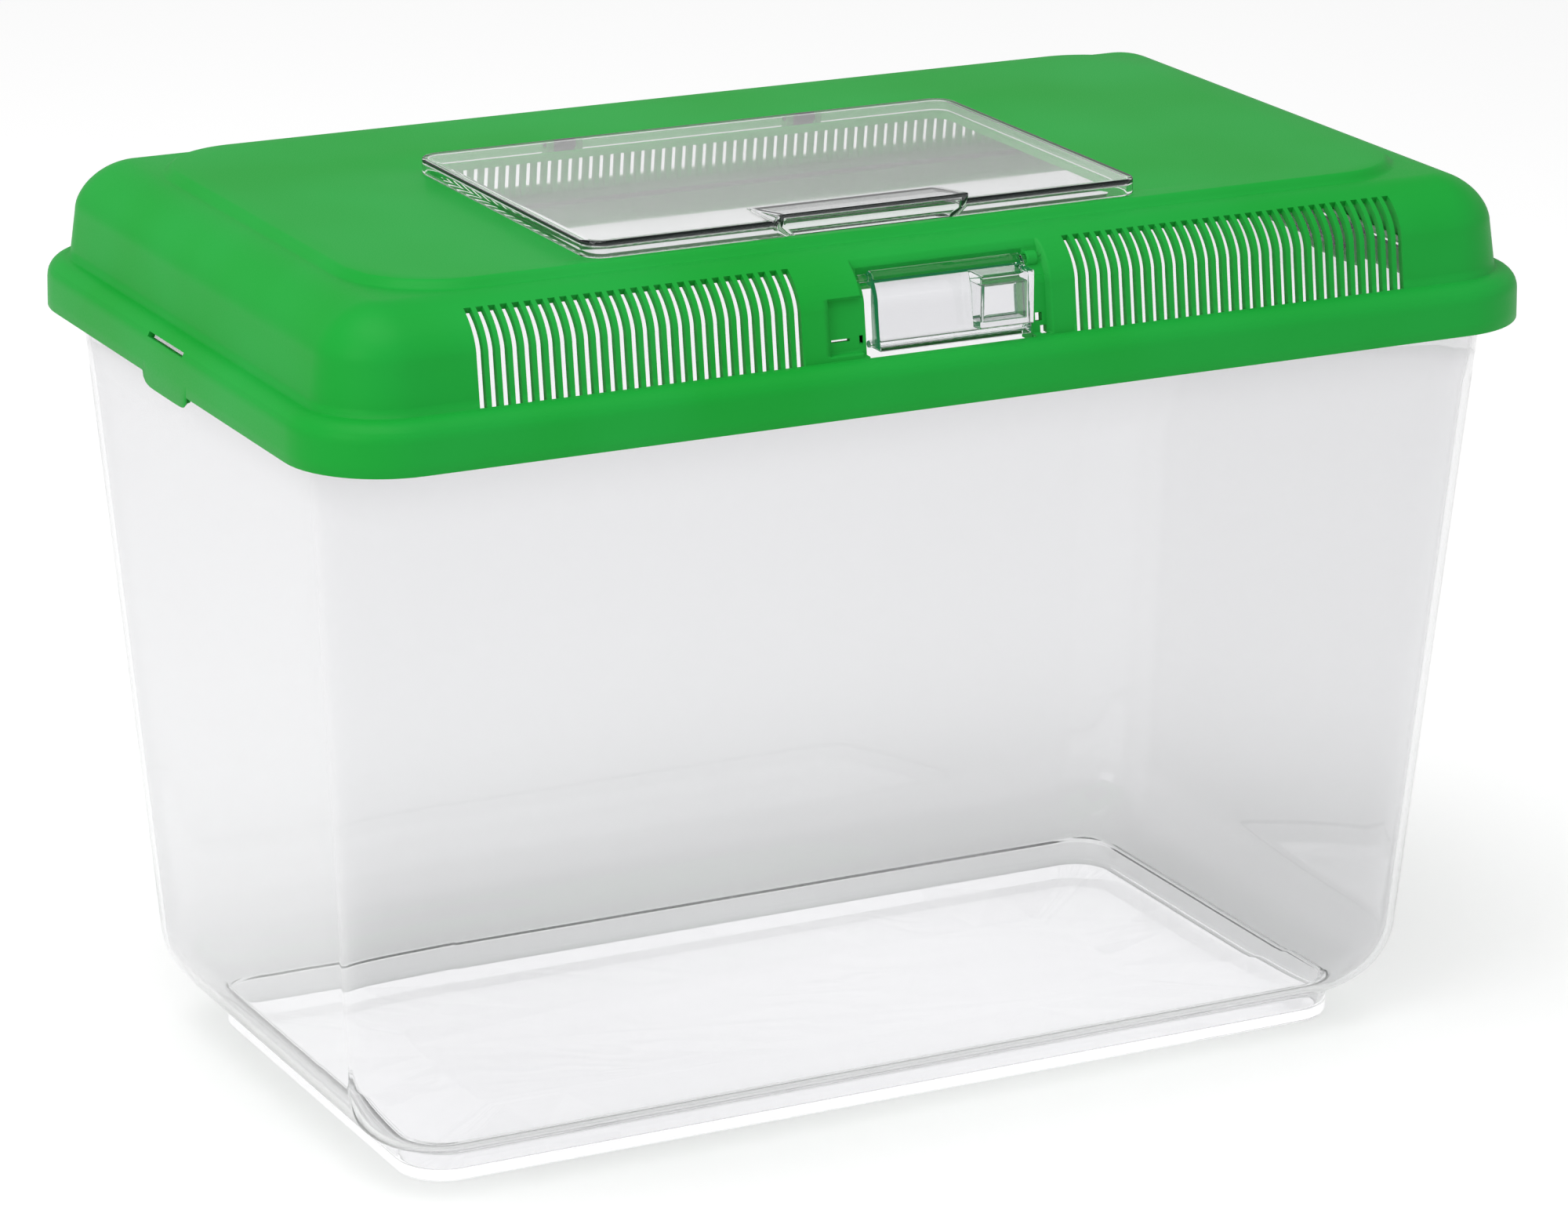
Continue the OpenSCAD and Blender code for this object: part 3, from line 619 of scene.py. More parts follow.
def makeLid(l):
    prof = lidProfile(l)
    cols = lidColumns(l)
    p = cornerRings(cols, l["cornerRadius"] - prof[:, 0], prof[:, 1])
    # the side tabs: the lowest rows of the short sides reach down in a rounded tab
    onSide = (np.isclose(cols[:, 2] % 180, 0)) & (np.abs(cols[:, 1]) <= l["tabWidth"] / 2 + 0.01)
    s = np.clip(np.abs(cols[:, 1]) / (l["tabWidth"] / 2), 0, 1)
    drop = l["tabDrop"] * np.clip((1 - s ** 8), 0, 1) ** 0.5
    p[:2, :, 2] -= np.where(onSide, drop, 0)
    # the raised field's rows, on the outline nearest to each column of the dome's last row
    last = p[-1, :, :2]
    extra = []
    inner = halfW - l["fieldInset"], halfD - l["fieldInset"]
    domeTop = l["shoulderZ"] + l["shoulderHeight"]
    for f in np.linspace(0, 1, 9):
        out = l["fieldSlope"] * (1 - f)
        height = domeTop + (l["fieldZ"] - domeTop) * (3 * f * f - 2 * f ** 3)
        xy = nearestOnRect(last, np.zeros(2), inner[0] + out, inner[1] + out, l["fieldRadius"] + out)
        extra.append(np.concatenate([xy, np.full((len(xy), 1), height)], 1))
    fieldTop = extra[-1][:, :2]
    # then flat, to the edge of the hatch's opening
    hole = nearestOnRect(fieldTop, np.array([hatch["x"], hatch["y"]]), hatch["width"] / 2 - hatch["ledge"],
                         hatch["depth"] / 2 - hatch["ledge"], hatch["cornerRadius"] - hatch["ledge"])
    for f in (0.1, 0.5, 0.97, 1.0):
        xy = fieldTop * (1 - f) + hole * f
        extra.append(np.concatenate([xy, np.full((len(xy), 1), l["fieldZ"] - (0.25 if f == 1 else 0))], 1))
    p = np.concatenate([p, np.stack(extra)])
    nr, nc = p.shape[:2]
    quads = gridFaces(nr, nc)
    keep = np.ones(quads.shape[:2], bool)
    # air slots: between the two edge columns of each slot, from the dome's foot up
    rowZ, rowIn = prof[:, 1], prof[:, 0]
    footRow = int(np.argmin(np.abs(rowIn - l["domeInset"]) + np.abs(rowZ - l["ledgeZ"])))
    endRow = int(np.argmin(np.abs(rowIn - l["slotReach"])))
    nextX = np.roll(cols[:, 0], -1)
    wide = np.abs(nextX - cols[:, 0])
    straight = np.isclose(cols[:, 2], np.roll(cols[:, 2], -1)) & (np.abs(cols[:, 2] % 180) > 1)
    first = -(l["slots"] - 1) / 2 * l["slotPitch"]
    middle = (nextX + cols[:, 0]) / 2
    number = (middle - first) / l["slotPitch"]
    isSlot = straight & np.isclose(wide, l["slotWidth"], atol=1e-3) & (np.abs(number - np.round(number)) < 0.01)
    keep[footRow:endRow, isSlot] = False
    # the gap that the finer patch round the flap fills
    gap = straight & (cols[:, 1] < 0) & np.isclose(middle, sum(l["seatPatch"]) / 2)
    top = len(prof) - 1
    keep[footRow - l["patchRows"]:top, gap] = False
    # the slits above the side catches
    slit0 = int(np.argmin(np.abs(rowZ - l["slitZ"][0])))
    slit1 = int(np.argmin(np.abs(rowZ - l["slitZ"][1])))
    nextY = np.roll(cols[:, 1], -1)
    side = np.isclose(cols[:, 2] % 180, 0) & (np.abs(cols[:, 1]) <= l["slitHalf"] + 0.01) \
        & (np.abs(nextY) <= l["slitHalf"] + 0.01)
    keep[slit0:slit1, side] = False
    flat = p.reshape(-1, 3)
    inside = inwardCopy(flat, quads.reshape(-1, 4), l["thickness"])
    return prof, footRow, shell(flat, inside, quads[keep])


lidProf, footRow, lidParts = makeLid(lid)
print("lid shell made")


# seat of the feeding flap, a finer patch of the lid's front

seat = {
    "door": [-26.5, 23.5],
    "sillInset": 6.3,
    "deep": 2.0,
    "right": 28.0,
    "top": 17.0,               # inset where the seat ends on the shoulder
    "left": -28.2,
    "pocket": [-38.2, -28.2],
    "pocketZ": [228.0, 243.1],
    "draft": 0.35,             # width of the sloping wall round each sunken place
    "footGap": 0.25,           # from the dome's foot to the seat
    "axis": [14.05, 246.22],   # inset and height of the flap's pins
    "axisX": [-26.6, 23.6],    # range of the barrel's groove
    "grooveRadius": 2.5,
    "doorTop": 247.0,          # height on the dome where the opening ends, behind the barrel
    "topDraft": 3.6,           # width of the slope above the seat
    "jambTop": 243.6,
    "jambBack": -96.5,
    "windows": [[-36.8, -31.2, 231.4, 232.1], [-28.5, -27.4, 230.1, 232.5], [24.5, 26.6, 230.3, 232.6],
                [25.9, 27.9, 226.9, 229.1]],
    "jambs": [-28.7, 24.4],    # outer faces of the deep jambs beside the opening
    "jambDepth": 8.0,
    "recess": [230.1, 232.5],  # heights of the blind window in the left jamb
    "recessX": [-28.5, -27.4],
}


def makeSeat(l, s, prof, footRow):
    # rows follow the same profile as the lid does in the gap that it leaves for this patch
    part = prof[footRow - l["patchRows"]:]
    length = np.concatenate([[0], np.cumsum(np.linalg.norm(np.diff(part, axis=0), axis=1))])

    def at(q):
        return np.stack([np.interp(q, length, part[:, k]) for k in (0, 1)], -1)

    fine = np.linspace(0, length[-1], 4000)
    path = at(fine)

    def atZ(z):
        k = np.argmin(np.abs(path[:, 1] - z) + np.where(path[:, 0] < l["domeInset"] - 1, 99, 0))
        return fine[k]

    def atInset(i):
        return fine[np.argmin(np.abs(path[:, 0] - i))]

    d = s["draft"]
    foot, top = atInset(l["domeInset"]), atInset(s["top"])
    doorTop = atZ(s["doorTop"])
    start, low, high = foot + s["footGap"], *(atZ(z) for z in s["pocketZ"])
    marks = [start, start + d, top, top - s["topDraft"], atInset(s["sillInset"]), doorTop, low, low + d, high, high - d]
    for w in s["windows"]:
        marks += [atZ(w[2]), atZ(w[3])]
    q = np.sort(np.concatenate([length, marks, np.linspace(0, length[-1], 50),
                                np.linspace(atZ(s["axis"][1] - 2.4), atZ(s["axis"][1] + 2.8), 30)]))
    q = q[np.concatenate([[True], np.diff(q) > 0.04])]
    xm = [*l["seatPatch"], *s["door"], s["left"], s["left"] + d, s["right"], s["right"] + d, s["pocket"][0],
          s["pocket"][0] + d, s["axisX"][0], s["axisX"][0] + 0.1, s["axisX"][1], s["axisX"][1] - 0.1]
    for w in s["windows"]:
        xm += w[:2]
    x = np.sort(np.concatenate([xm, np.linspace(*l["seatPatch"], 42)]))
    x = x[np.concatenate([[True], np.diff(x) > 0.04])]
    row = at(q)
    tangent = np.gradient(path, axis=0)
    tangent = np.stack([np.interp(q, fine, tangent[:, k]) for k in (0, 1)], -1)
    tangent /= np.linalg.norm(tangent, axis=1, keepdims=True)
    normal = np.stack([-tangent[:, 1], tangent[:, 0]], -1)   # away from the dome, in (inset, z)

    def ramp(v, lo, hi, edge, endEdge=None):
        # 0 outside [lo, hi], 1 inside, with straight ramps of width edge within it
        return np.clip((v - lo) / edge, 0, 1) * np.clip((hi - v) / (endEdge or edge), 0, 1)

    sunken = ramp(q, start, top, d, s["topDraft"])[:, None] * ramp(x, s["left"], s["right"] + d, d)[None]
    pocket = ramp(q, low, high, d)[:, None] * ramp(x, s["pocket"][0], s["pocket"][1] + 2 * d, d)[None]
    deep = s["deep"] * np.maximum(sunken, pocket)
    # the barrel's groove: where the inward normal from the dome meets the groove's circle
    # for the second time, that is its depth
    to = np.array(s["axis"]) - row
    along = -np.einsum("ij,ij->i", to, normal)
    aside = np.einsum("ij,ij->i", to, tangent)
    reach = s["grooveRadius"] ** 2 - aside ** 2
    groove = np.where(reach > 0, along + np.sqrt(np.maximum(reach, 0)), 0)
    deep = np.maximum(deep, groove[:, None] * ramp(x, *s["axisX"], 0.1)[None])

    def below(depth):
        # the patch moved in along the dome's normal
        inset, z = (row[:, k][:, None] - normal[:, k][:, None] * depth for k in (0, 1))
        return np.stack([np.broadcast_to(x, inset.shape), inset - halfD, z], -1).reshape(-1, 3)

    quads = gridFaces(len(q), len(x), closed=False)
    qm, xm = (q[:-1] + q[1:]) / 2, (x[:-1] + x[1:]) / 2

    def within(x0, x1, q0, q1):
        # faces between two places along the profile and two along X
        return ((qm > q0) & (qm < q1))[:, None] & ((xm > x0) & (xm < x1))[None]

    hole = within(*s["door"], atInset(s["sillInset"]), doorTop)
    for x0, x1, z0, z1 in s["windows"]:
        hole |= within(x0, x1, atZ(z0), atZ(z1))
    return shell(below(deep), below(deep + l["thickness"]), quads[~hole])


def makeJambs(l, s):
    # the dome's curve between two depths and two heights, carried along X
    dome = domeCurve(l)

    def band(x0, x1, z0, z1, d0=2.3, d1=s["jambDepth"]):
        z = np.linspace(z0, z1, 10)
        o = np.concatenate([np.column_stack([np.minimum(dome(h, d), s["jambBack"]), h])
                            for h, d in ((z, d0), (z[::-1], d1))])
        return loft([atX(x, o) for x in (x0, x1)])

    low, high, off = l["ledgeZ"] - 2, s["jambTop"], 0.02
    (r0, r1), (w0, w1) = s["recess"], s["recessX"]
    return [band(s["jambs"][0], w0, low, high), band(w1, s["door"][0] - off, low, high),
            band(w0, w1, low, r0), band(w0, w1, r1, high), band(w0, w1, r0, r1, 7.0),
            band(s["door"][1] + off, s["jambs"][1], low, high)]


lidParts += makeSeat(lid, seat, lidProf, footRow)
lidParts += makeJambs(lid, seat)

hinges = {
    "hatchX": [-52.0, 23.0],
    "hatchY": 33.2,
    "hatchZ": 257.5,
    "earWidth": 6.0,
    "lugThickness": 2.2,
    "lugRadius": 1.9,
    "sidePlay": 0.3,
    "pinRadius": 1.1,
    "boreRadius": 1.3,
    "knuckle": [23.5, 26.7],
    "knuckleRadius": 2.1,
    "flapY": -97.95,
    "flapZ": 246.22,
    "hookReach": 0.6,
    "hookZ": [210.9, 211.5, 212.8, 213.1],
    "hookHalf": 11.5,
}


def uprightOutline(y, z, r, foot, n=24):
    # round above the axis, straight sides below it, down to the foot
    o = circle(y, z, r, n)
    low = o[:, 1] < z - 0.01
    spread = np.clip((o[:, 0] - y) * 1.25, -r, r)
    o[low] = np.stack([y + spread[low], np.where(np.abs(spread[low]) > r * 0.99, (z + foot) / 2, foot)], 1)
    return o


def lidFittings(h, l):
    parts = []
    for x in h["hatchX"]:
        for side in (-1, 1):
            middle = x + side * (h["earWidth"] / 2 + h["sidePlay"] + h["lugThickness"] / 2)
            parts.append(pierced(uprightOutline(h["hatchY"], h["hatchZ"], h["lugRadius"], l["fieldZ"] - 0.3),
                                 circle(h["hatchY"], h["hatchZ"], h["boreRadius"]), (middle, 0, 0), 0,
                                 h["lugThickness"], 0.25))
    k0, k1 = h["knuckle"]
    parts.append(pierced(circle(h["flapY"], h["flapZ"], h["knuckleRadius"]),
                         circle(h["flapY"], h["flapZ"], h["boreRadius"]), ((k0 + k1) / 2, 0, 0), 0, k1 - k0, 0.3))
    # the hooks inside the short sides
    root, tip = halfW - l["thickness"] + 0.3, halfW - l["thickness"] - h["hookReach"]
    hook = np.column_stack([[root, tip, tip, root], h["hookZ"]])
    for side in (-1, 1):
        parts.append(prism(hook * [side, 1], 1, -h["hookHalf"], h["hookHalf"], 0.3))
    return parts


lidParts += lidFittings(hinges, lid)
buildPiece("lid_shell", lidParts, green, "lid", ["lid"])
print("lid made")


# top hatch

def hatchProfile(h):
    # rows of [inset, z] from the underside's middle, down the inside, round the foot and
    # up the outside to the top: small roundings at the foot, a larger one at the top edge
    z0, z1 = h["z"]
    w, e, f = h["wall"], h["edge"], h["footEdge"]
    under = z1 - w
    rows = [[h["plateRow"], under], [w + 1.2, under]]
    rows += bend(w, under, h["innerEdge"], -h["innerEdge"]) + [[w, (under + z0) / 2]]
    rows += bend(w, z0, -f, f, quarterTurn[::-2]) + bend(0, z0, f, f, quarterTurn[1::2])
    rows += [[0, z0 + f + 0.3], [0, (z0 + z1) / 2], [0, z1 - e - 0.3]]
    rows += bend(0, z1, e, -e, quarterTurn[::-1]) + [[e + 1.2, z1], [h["plateRow"], z1]]
    return np.array(rows)


def smooth(t):
    t = np.clip(t, 0, 1)
    return t * t * (3 - 2 * t)


def tabProfile(h, prof):
    # the same rows where the finger tab stands: a ramp up to the lip, a leaning front
    # and a thinner wall behind it. Extra rows on the plate come first and last.
    z0, z1 = h["z"]
    w, d, rise, lip = h["wall"], h["tabDepth"], h["tabRise"], h["tabLip"]
    deep = np.array(h["tabRows"])
    base = np.concatenate([np.column_stack([deep, np.full(len(deep), z1 - w)]), prof,
                           np.column_stack([deep[::-1], np.full(len(deep), z1)])])
    k0 = len(deep)
    n = len(prof)
    slope = rise / (d + lip)
    tab = base.copy()

    def raised(i, start):
        # straight ramp with a short curve at its start
        t = np.maximum(start - i, 0)
        return slope * (t - h["tabBlend"] * 0.5 * (1 - np.exp(-2 * t / h["tabBlend"])))

    def hollow(i):
        # the hollow's roof: steeper where it starts, then nearly level with the ramp
        start, n1 = d + 0.4, h["hollowDepth"]
        n0 = slope + (w - h["tabWall"]) / n1
        t = np.clip((start - i) / n1, 0, None)
        return np.where(t < 1, n0 * n1 * t, n0 * n1 + slope * (start - n1 - i))

    inner = np.arange(0, k0 + 2)
    tab[inner, 1] += hollow(base[inner, 0])
    outer = np.arange(k0 + n - 2, len(base))
    tab[outer, 1] += raised(base[outer, 0], d)
    # inside: edge between ramp and front wall, the wall, the foot
    top = z1 - w + hollow(np.array([0.4]))[0]
    tab[k0 + 2:k0 + 8] = bend(-1.3, top, 0.3, -0.3)
    tab[k0 + 8] = [-0.6, (top + z0) / 2]
    tab[k0 + 9:k0 + 12] = [[-0.1, z0 + 1.9], [-0.2, z0 + 1.5], [-0.6, z0 + 0.9]]
    tab[k0 + 12:k0 + 15] = [[-0.85, z0 + 0.45], [-0.95, z0 + 0.4], [-1.02, z0 + 0.6]]
    # outside: the leaning front and the lip's rounding
    low, high = z0 + 0.9, z1 + rise - 1.0
    tab[k0 + 15:k0 + 18] = [[-1.0 - (lip - 1.0) * f, low + (high - low) * f] for f in (0.12, 0.5, 0.97)]
    r = h["lipEdge"]
    tab[k0 + 18:k0 + 24] = bend(-lip, z1 + rise, r, -r, quarterTurn[::-1])
    tab[k0 + 24, 0], tab[k0 + 25, 0] = -lip + r + 1.2, 2.0
    tab[k0 + 24:k0 + 26, 1] = z1 + raised(tab[k0 + 24:k0 + 26, 0], d)
    tab[k0 + 18:k0 + 24, 1] += tab[k0 + 24, 1] + slope * 1.2 - (z1 + rise)
    isInner = np.arange(len(base)) < k0 + 12
    return base, tab, isInner, k0


def makeHatch(h, g):
    prof = hatchProfile(h)
    r = h["cornerRadius"]
    hw, hd = h["width"] / 2, h["depth"] / 2
    x0, x1 = h["patch"]
    sides = [[], [], [], [(x - h["x"], r - hd, 270) for x in (x0, x1)]]
    p = cornerRings(cornerColumns(hw - r, hd - r, 9, sides), r - prof[:, 0], prof[:, 1], (h["x"], h["y"]))
    nr, nc = p.shape[:2]
    quads = np.delete(gridFaces(nr, nc), nc - 2, axis=1).reshape(-1, 4)
    front = h["y"] - hd
    deep = [[x, front + h["tabRows"][0]] for x in (x0, x1)]
    extra = np.array([[*q, z] for z in (prof[0, 1], prof[-1, 1]) for q in deep])
    flat = np.concatenate([p.reshape(-1, 3), extra])
    m = nr * nc
    under = list(range(nc - 1)) + [m, m + 1, nc - 1]
    over = [(nr - 1) * nc + k for k in range(nc - 1)] + [m + 2, m + 3, (nr - 1) * nc + nc - 1]
    parts = [[flat, [quads, [under[::-1]], [over]], True]]
    # the finer patch with the finger tab
    base, tab, isInner, k0 = tabProfile(h, prof)
    half, w = h["tabWidth"] / 2, h["wall"]
    step = np.array([-0.45, -0.3, -0.15, 0, 0.15, 0.3])
    u = np.concatenate([np.linspace(0, half - w - 1, 12), half - w + step, half + step, [half + 0.9, x1 - h["x"]]])
    u = np.unique(np.round(np.concatenate([-u, u, [x0 - h["x"]]]), 4))
    weightOut = smooth((half + 0.3 - np.abs(u)) / 0.7)
    weightIn = smooth((half - w + 0.3 - np.abs(u)) / 0.7)
    weight = np.where(isInner[:, None], weightIn[None], weightOut[None])
    prof2 = base[:, None, :] * (1 - weight[..., None]) + tab[:, None, :] * weight[..., None]
    # the tab's lower corners are cut off: columns near its ends lean inwards on the low rows
    z0, z1 = h["z"]
    low = np.clip((z1 - 0.8 - tab[:, 1]) / (z1 - 0.8 - z0 - 0.4), 0, 1)
    low = np.where(np.arange(len(base)) >= k0 + 9, low, 0)
    shift = np.interp(np.abs(u), [half - h["tabLean"], half, half + 0.4, abs(x1 - h["x"]), 99], [0, 1, 1, 0, 0])
    xs = h["x"] + u[None] - np.sign(u)[None] * h["tabCut"] * low[:, None] * shift[None]
    points = np.stack([xs, front + prof2[..., 0], prof2[..., 1]], -1)
    parts.append([points.reshape(-1, 3), [gridFaces(len(base), len(u), closed=False).reshape(-1, 4)], True])
    # the ears behind the back edge, each with a stub pin at both ends
    y, z, ear, ear2 = g["hatchY"], g["hatchZ"], g["lugRadius"] - 0.1, g["earWidth"] / 2
    pinEnd, thick, thin = ear2 + g["sidePlay"] + g["lugThickness"], g["pinRadius"], g["pinRadius"] - 0.3
    across = circle(0, 0, 1)[:, 0]
    drop = circle(y, z, ear)
    web = across < 0.2
    drop[web, 0] = np.minimum(drop[web, 0], y + across[web] * (y - front - h["depth"] + 0.8))
    for x in g["hatchX"]:
        rows = [(-pinEnd, None, thin), (0.3 - pinEnd, None, thick), (-ear2, None, thick), (-ear2, drop, 1)]
        rows += [(-dx, o, q) for dx, o, q in rows[::-1]]
        parts.append(loft([atX(x + dx, circle(y, z, q) if o is None else o) for dx, o, q in rows]))
    return buildPiece("hatch_shell", parts, clearHatch, "top_hatch", ["top_hatch"])


makeHatch(hatch, hinges)
print("hatch made")


# feeding flap

flap = {
    "x": [-23.4, 22.0],
    "thickness": 4.5,          # a solid clear slab
    "footThickness": 6.2,      # at its bottom edge
    "footReach": 2.4,          # height over which it thickens
    "bottomZ": 227.6,
    "barrelRadius": 1.9,
    "plateEnd": -99.15,        # y where the slab runs into the barrel
    "gripX": [4.6, 21.0],
    "gripZ": [231.2, 245.8],
    "gripY": -108.6,
    "gripWall": 1.6,
    "gripRoof": 2.8,
    "gripEdge": 0.5,
    "edge": 0.3,
    "pinReach": [6.2, 4.3],
    "stub": [-102.75, 229.6],
    "stubReach": [2.7, 1.1],
    "stubRadius": 1.0,
}


def corner(y, z, r, start, end, n=5):
    # an arc inside a corner at (y, z), from one angle to the other: centre + r (cos a, sin a)
    a = np.radians(np.linspace(start, end, n))
    middle = math.radians((start + end) / 2)
    cy, cz = y - r * math.copysign(1, math.cos(middle)), z - r * math.copysign(1, math.sin(middle))
    return np.column_stack([cy + r * np.cos(a), cz + r * np.sin(a)])


def makeFlap(l, s, g):
    # sections of one closed outline in the YZ plane, carried along X: up the outside from
    # the bottom edge, round the barrel, down the back and along the bottom. In the grip the
    # outside stands out, and behind it the back goes in to a pocket.
    dome = domeCurve(l)
    by, bz, br, t, e = g["flapY"], g["flapZ"], s["barrelRadius"], s["thickness"], s["edge"]
    z0, (gz0, gz1), gy, ge = s["bottomZ"], s["gripZ"], s["gripY"], s["gripEdge"]
    zEnd = np.interp(s["plateEnd"] - 0.35 + halfD, dome(None, 0)[:, 0], dome(None, 0)[:, 1])
    near = np.array([-0.3, -0.05, 0, 0.01, 0.02])
    zo = np.concatenate([np.linspace(z0 + e, gz0 - 0.8, 5), gz0 + near, np.linspace(gz0 + 0.03, gz0 + 0.07, 5),
                         np.linspace(gz0 + 1.0, gz1 - 1.0, 9), np.linspace(gz1 - 0.07, gz1 - 0.03, 5), gz1 - near[::-1],
                         np.linspace(gz1 + 0.5, zEnd, 4)])
    outside = np.column_stack([dome(zo, 0), zo])
    grip = outside.copy()
    yl, yh = dome(gz0, 0), dome(gz1, 0)
    flare = np.array([0, 0, 0, 0.04, 0.85])
    grip[5:10, 0], grip[7:10, 1] = dome(zo[5:10], 0) + (gy + ge - yl) * flare, gz0
    grip[10:15] = corner(gy, gz0, ge, 270, 180)
    grip[15:24, 0] = gy
    grip[24:29] = corner(gy, gz1, ge, 180, 90)
    grip[29:34, 0], grip[29:32, 1] = dome(zo[29:34], 0) + (gy + ge - yh) * flare[::-1], gz1
    arc = np.linspace(math.radians(118), math.acos((by - s["plateEnd"]) / br) - math.pi, 22)
    barrel = np.column_stack([by + br * np.cos(arc), bz + br * np.sin(arc)])
    # the back, and the pocket behind the grip
    low, high, deep, r = gz0 + s["gripWall"], gz1 - s["gripRoof"], gy + s["gripWall"], 0.4
    fine = 0.03 * np.arange(1, 6)
    zi = np.concatenate([np.linspace(barrel[-1, 1] - 0.15, high + 0.3, 4), high + near[::-1][:3], high - fine,
                         np.linspace(high - 0.8, low + 0.8, 9), low + fine[::-1], low + near[:3][::-1],
                         np.linspace(low - 0.7, z0 + e + 0.1, 6)])
    foot = (s["footThickness"] - t) * smooth((z0 + s["footReach"] - zi) / s["footReach"])
    back = np.column_stack([np.minimum(dome(zi, t), s["plateEnd"]) + foot, zi])
    pocket = back.copy()
    pocket[5:7, 0], pocket[4:7, 1] = [back[5, 0] - 0.3, deep + r], high
    pocket[7:12] = [[deep + r - r * math.sin(a), high - r + r * math.cos(a)] for a in np.radians(np.linspace(0, 90, 5))]
    pocket[12:21, 0] = deep
    pocket[21:26] = [[deep + r - r * math.cos(a), low + r - r * math.sin(a)] for a in np.radians(np.linspace(0, 90, 5))]
    pocket[26:28, 0], pocket[26:29, 1] = [deep + r, back[27, 0] - 0.3], low
    yb = dome(z0, t) + s["footThickness"] - t
    foot = np.concatenate([corner(yb, z0, e, 360, 270), [[yb - e - 0.3, z0], [(yb + dome(z0, 0)) / 2, z0],
                           [dome(z0, 0) + e + 0.3, z0]], corner(dome(z0, 0), z0, e, 270, 180)[:-1]])

    def section(x, out, hollowed, shrink):
        q = np.concatenate([outside + (grip - outside) * out, barrel, back + (pocket - back) * hollowed, foot])
        return atX(x, narrowed(q, q.mean(0), shrink))

    # stations along X: [x, how far the grip stands out, how far the pocket goes in, how much smaller]
    x0, x1 = s["x"]
    g0, g1 = s["gripX"]
    h0, h1 = g0 + s["gripWall"], g1 - s["gripWall"]
    rise = [(-0.25, 0), (0, 0), (0.01, 0.04), (0.03, 0.86), (0.09, 0.93), (0.22, 0.98), (0.4, 1), (0.7, 1)]
    sink = [(-0.25, 0), (0, 0), (0.01, 0.03), (0.03, 0.95), (0.12, 0.98), (0.3, 1), (0.6, 1)]
    rows = [(x0, 0, 0, 0.3), (x0 + 0.09, 0, 0, 0.09), (x0 + 0.3, 0, 0, 0), (x0 + 0.6, 0, 0, 0)]
    rows += [(x, 0, 0, 0) for x in np.linspace(x0 + 2, g0 - 1, 8)]
    rows += [(g0 + d, v, 0, 0) for d, v in rise] + [(h0 + d, 1, v, 0) for d, v in sink]
    rows += [(x, 1, 1, 0) for x in np.linspace(h0 + 1.2, h1 - 1.2, 5)]
    rows += [(h1 - d, 1, v, 0) for d, v in sink[::-1]] + [(g1 - d, v, 0, 0) for d, v in rise[:0:-1]]
    rows += [(x1 - 0.09, 0, 0, 0.09), (x1, 0, 0, 0.3)]
    parts = [loft([section(*row) for row in rows], True)]
    for reach, inside, place, radius in ((s["pinReach"], 0.6, (by, bz), g["pinRadius"]),
                                         (s["stubReach"], 0.4, s["stub"], s["stubRadius"])):
        parts += [pin(x0 + inside, x0 - reach[0], *place, radius), pin(x1 - inside, x1 + reach[1], *place, radius)]
    return buildPiece("flap_shell", parts, clearFlap, "feeding_flap", ["feeding_flap"])


makeFlap(lid, flap, hinges)
print("flap made")


# stage, light and camera

stage = {
    "floorColour": "F2F2F2",
    "floorRadius": 6.0,
    "floorGlow": 0.33,         # what the floor shows of itself to the camera, glass and gloss
    "ambient": 0.55,
    "darkSide": 0.1,           # what glass and gloss see above the backdrop
    "glossLevel": 0.4,         # how bright reflections are below and above the white wall
    "whiteWall": [0.216, 0.24, 0.29, 0.35],    # upward parts of the direction where it starts, is full, fades and ends
    "ceiling": [0.42, 0.6],    # the same, where the backdrop ends
    "grain": [10 / 9, 0.02],   # mm, the paper's grain and its depth
}


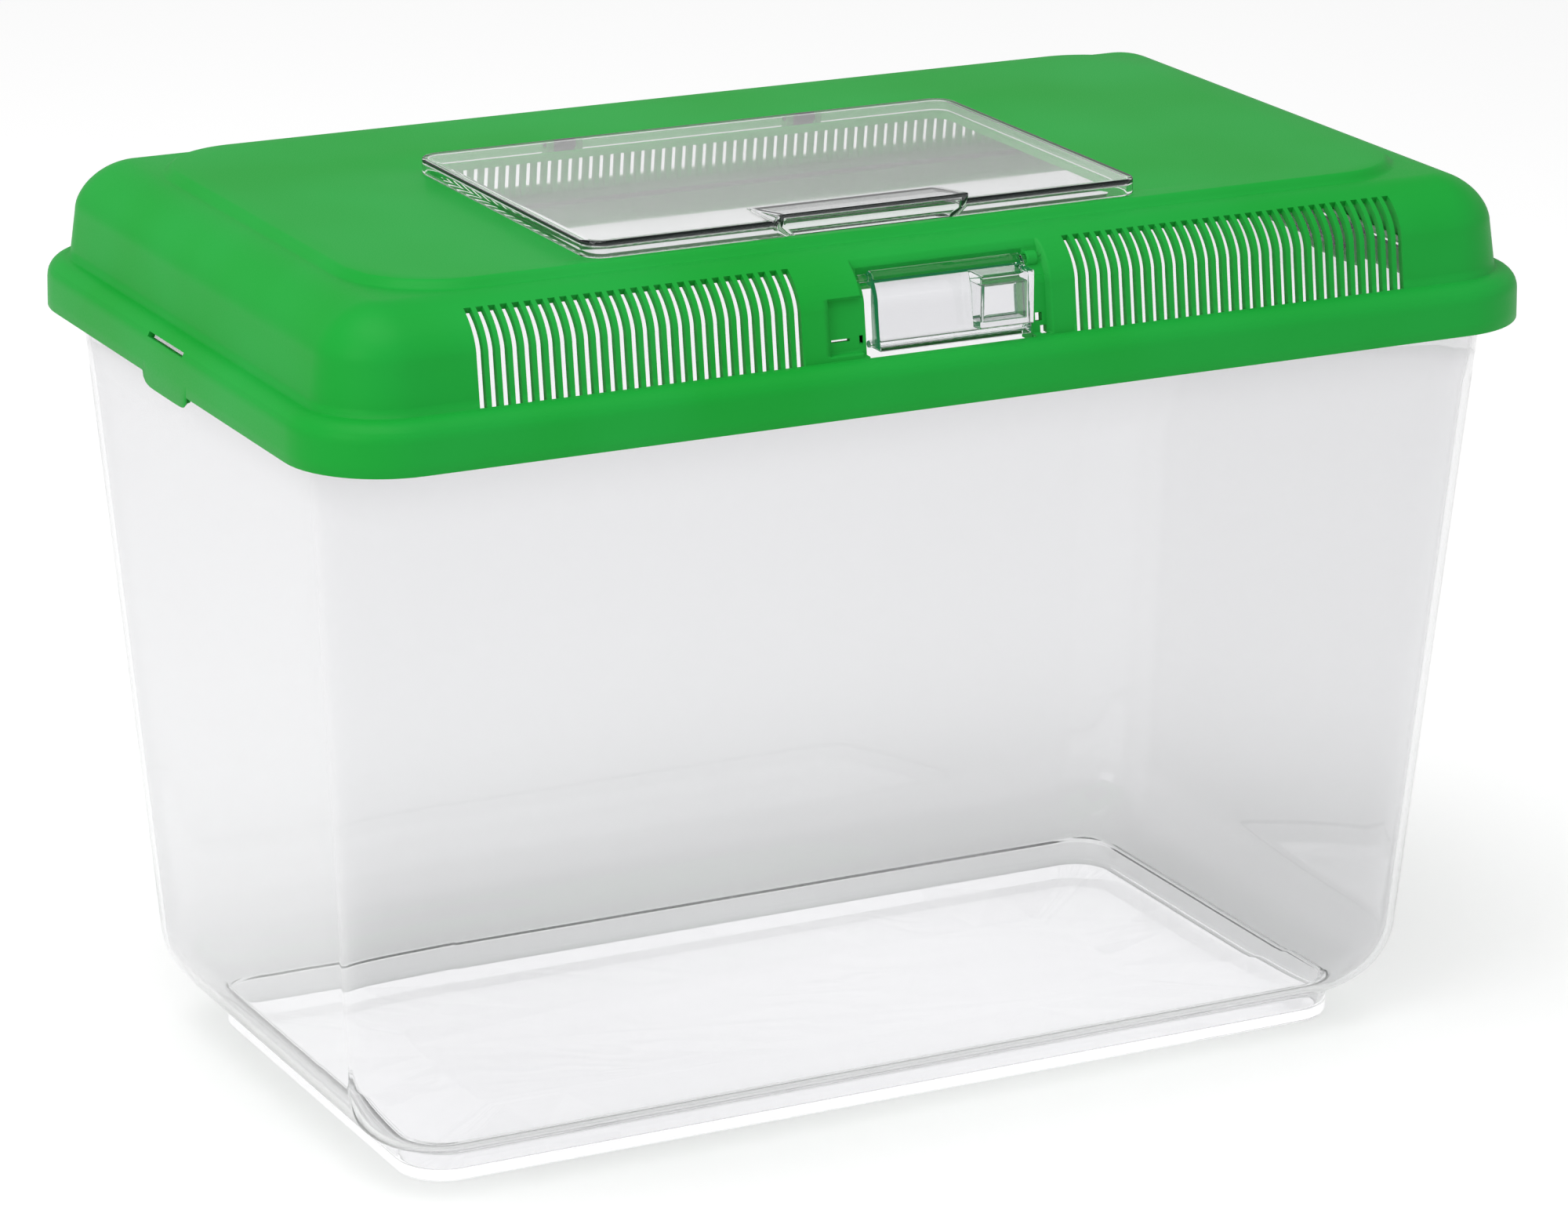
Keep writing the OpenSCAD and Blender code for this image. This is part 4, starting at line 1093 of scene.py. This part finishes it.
def makeStage(s):
    bpy.ops.mesh.primitive_circle_add(vertices=64, radius=s["floorRadius"], fill_type="NGON")
    floor = bpy.context.object
    floor.name = "floor"
    m, t = newMaterial("matt white paper sweep")
    path = addNode(t, "ShaderNodeLightPath").outputs
    either = addMath(t, "MAXIMUM", path["Is Glossy Ray"], path["Is Transmission Ray"])
    seen = addMath(t, "MAXIMUM", path["Is Camera Ray"], either)
    size, depth = s["grain"]
    matt = addNode(t, "ShaderNodeBsdfDiffuse", {"Color": srgb(s["floorColour"]),
                                                "Normal": bumped(t, noise(t, size, 2.0), depth, 0.3)})
    glow = addNode(t, "ShaderNodeEmission", {"Color": (1, 1, 1, 1),
                                             "Strength": addMath(t, "MULTIPLY", seen, s["floorGlow"])})
    both = addNode(t, "ShaderNodeAddShader", {0: matt.outputs[0], 1: glow.outputs[0]})
    floor.data.materials.append(finishMaterial(m, t, both))

    world = bpy.data.worlds.new("studio")
    bpy.context.scene.world = world
    world.use_nodes = True
    t = world.node_tree
    t.nodes.clear()
    path = addNode(t, "ShaderNodeLightPath").outputs
    # glass and gloss see a white backdrop round the horizon and a darker ceiling above it,
    # and gloss sees it bright only where the white wall stands
    way = addNode(t, "ShaderNodeTexCoord").outputs["Generated"]
    up = addNode(t, "ShaderNodeSeparateXYZ", {"Vector": way}).outputs["Z"]
    room = mapped(t, up, s["ceiling"], (1.0, s["darkSide"]))
    start, full, fade, end = s["whiteWall"]
    wall = addMath(t, "MINIMUM", mapped(t, up, (start, full), (s["glossLevel"], 1.0)),
                   mapped(t, up, (fade, end), (1.0, s["glossLevel"])))
    level = s["ambient"]
    for kind, seen in (("Is Glossy Ray", addMath(t, "MULTIPLY", room, wall)), ("Is Transmission Ray", room),
                       ("Is Camera Ray", 1.0)):
        level = addNode(t, "ShaderNodeMix", {"Factor": path[kind], "A": level, "B": seen}).outputs["Result"]
    back = addNode(t, "ShaderNodeBackground", {"Color": (1, 1, 1, 1), "Strength": level})
    addNode(t, "ShaderNodeOutputWorld", {"Surface": back.outputs[0]})


def addSoftbox(name, place, aim, size, power):
    light = bpy.data.lights.new(name, "AREA")
    light.shape, light.size, light.size_y, light.energy = "RECTANGLE", size[0], size[1], power
    o = bpy.data.objects.new(name, light)
    o.location = place
    direction = np.array(aim) - np.array(place)
    o.rotation_euler = mathutils.Vector(direction).to_track_quat("-Z", "Y").to_euler()
    bpy.context.scene.collection.objects.link(o)


softboxes = {
    "softbox_top": {"place": (-0.5, -0.3, 1.9), "aim": (0, 0, 0.1), "size": (1.6, 1.2), "power": 16},
    "softbox_left": {"place": (-1.9, -0.9, 1.2), "aim": (0, 0, 0.15), "size": (1.0, 1.2), "power": 10},
}

makeStage(stage)
for name, softbox in softboxes.items():
    addSoftbox(name, **softbox)

shot = {"azimuth": 26.83, "elevation": 17.45, "roll": 0.17, "distance": 1785.26, "right": 1.28, "up": 118.18,
        "focalPixels": 7814.17, "imageWidth": 2000}


def makeCamera(c):
    az, el, roll = (math.radians(c[k]) for k in ("azimuth", "elevation", "roll"))
    back = np.array([-math.sin(az) * math.cos(el), -math.cos(az) * math.cos(el), math.sin(el)])
    right = np.array([math.cos(az), -math.sin(az), 0])
    up = np.cross(back, right)
    place = (back * c["distance"] + right * c["right"] + up * c["up"]) * mm
    r2 = math.cos(roll) * right + math.sin(roll) * up
    u2 = -math.sin(roll) * right + math.cos(roll) * up
    data = bpy.data.cameras.new("camera")
    data.sensor_width = 36
    data.lens = c["focalPixels"] / c["imageWidth"] * 36
    data.clip_end = 50
    o = bpy.data.objects.new("camera", data)
    o.matrix_world = mathutils.Matrix(np.vstack([np.column_stack([r2, u2, back, place]), [0, 0, 0, 1]]).tolist())
    bpy.context.scene.collection.objects.link(o)
    bpy.context.scene.camera = o


makeCamera(shot)
bpy.context.scene.view_settings.view_transform = "Standard"
print("stage made")
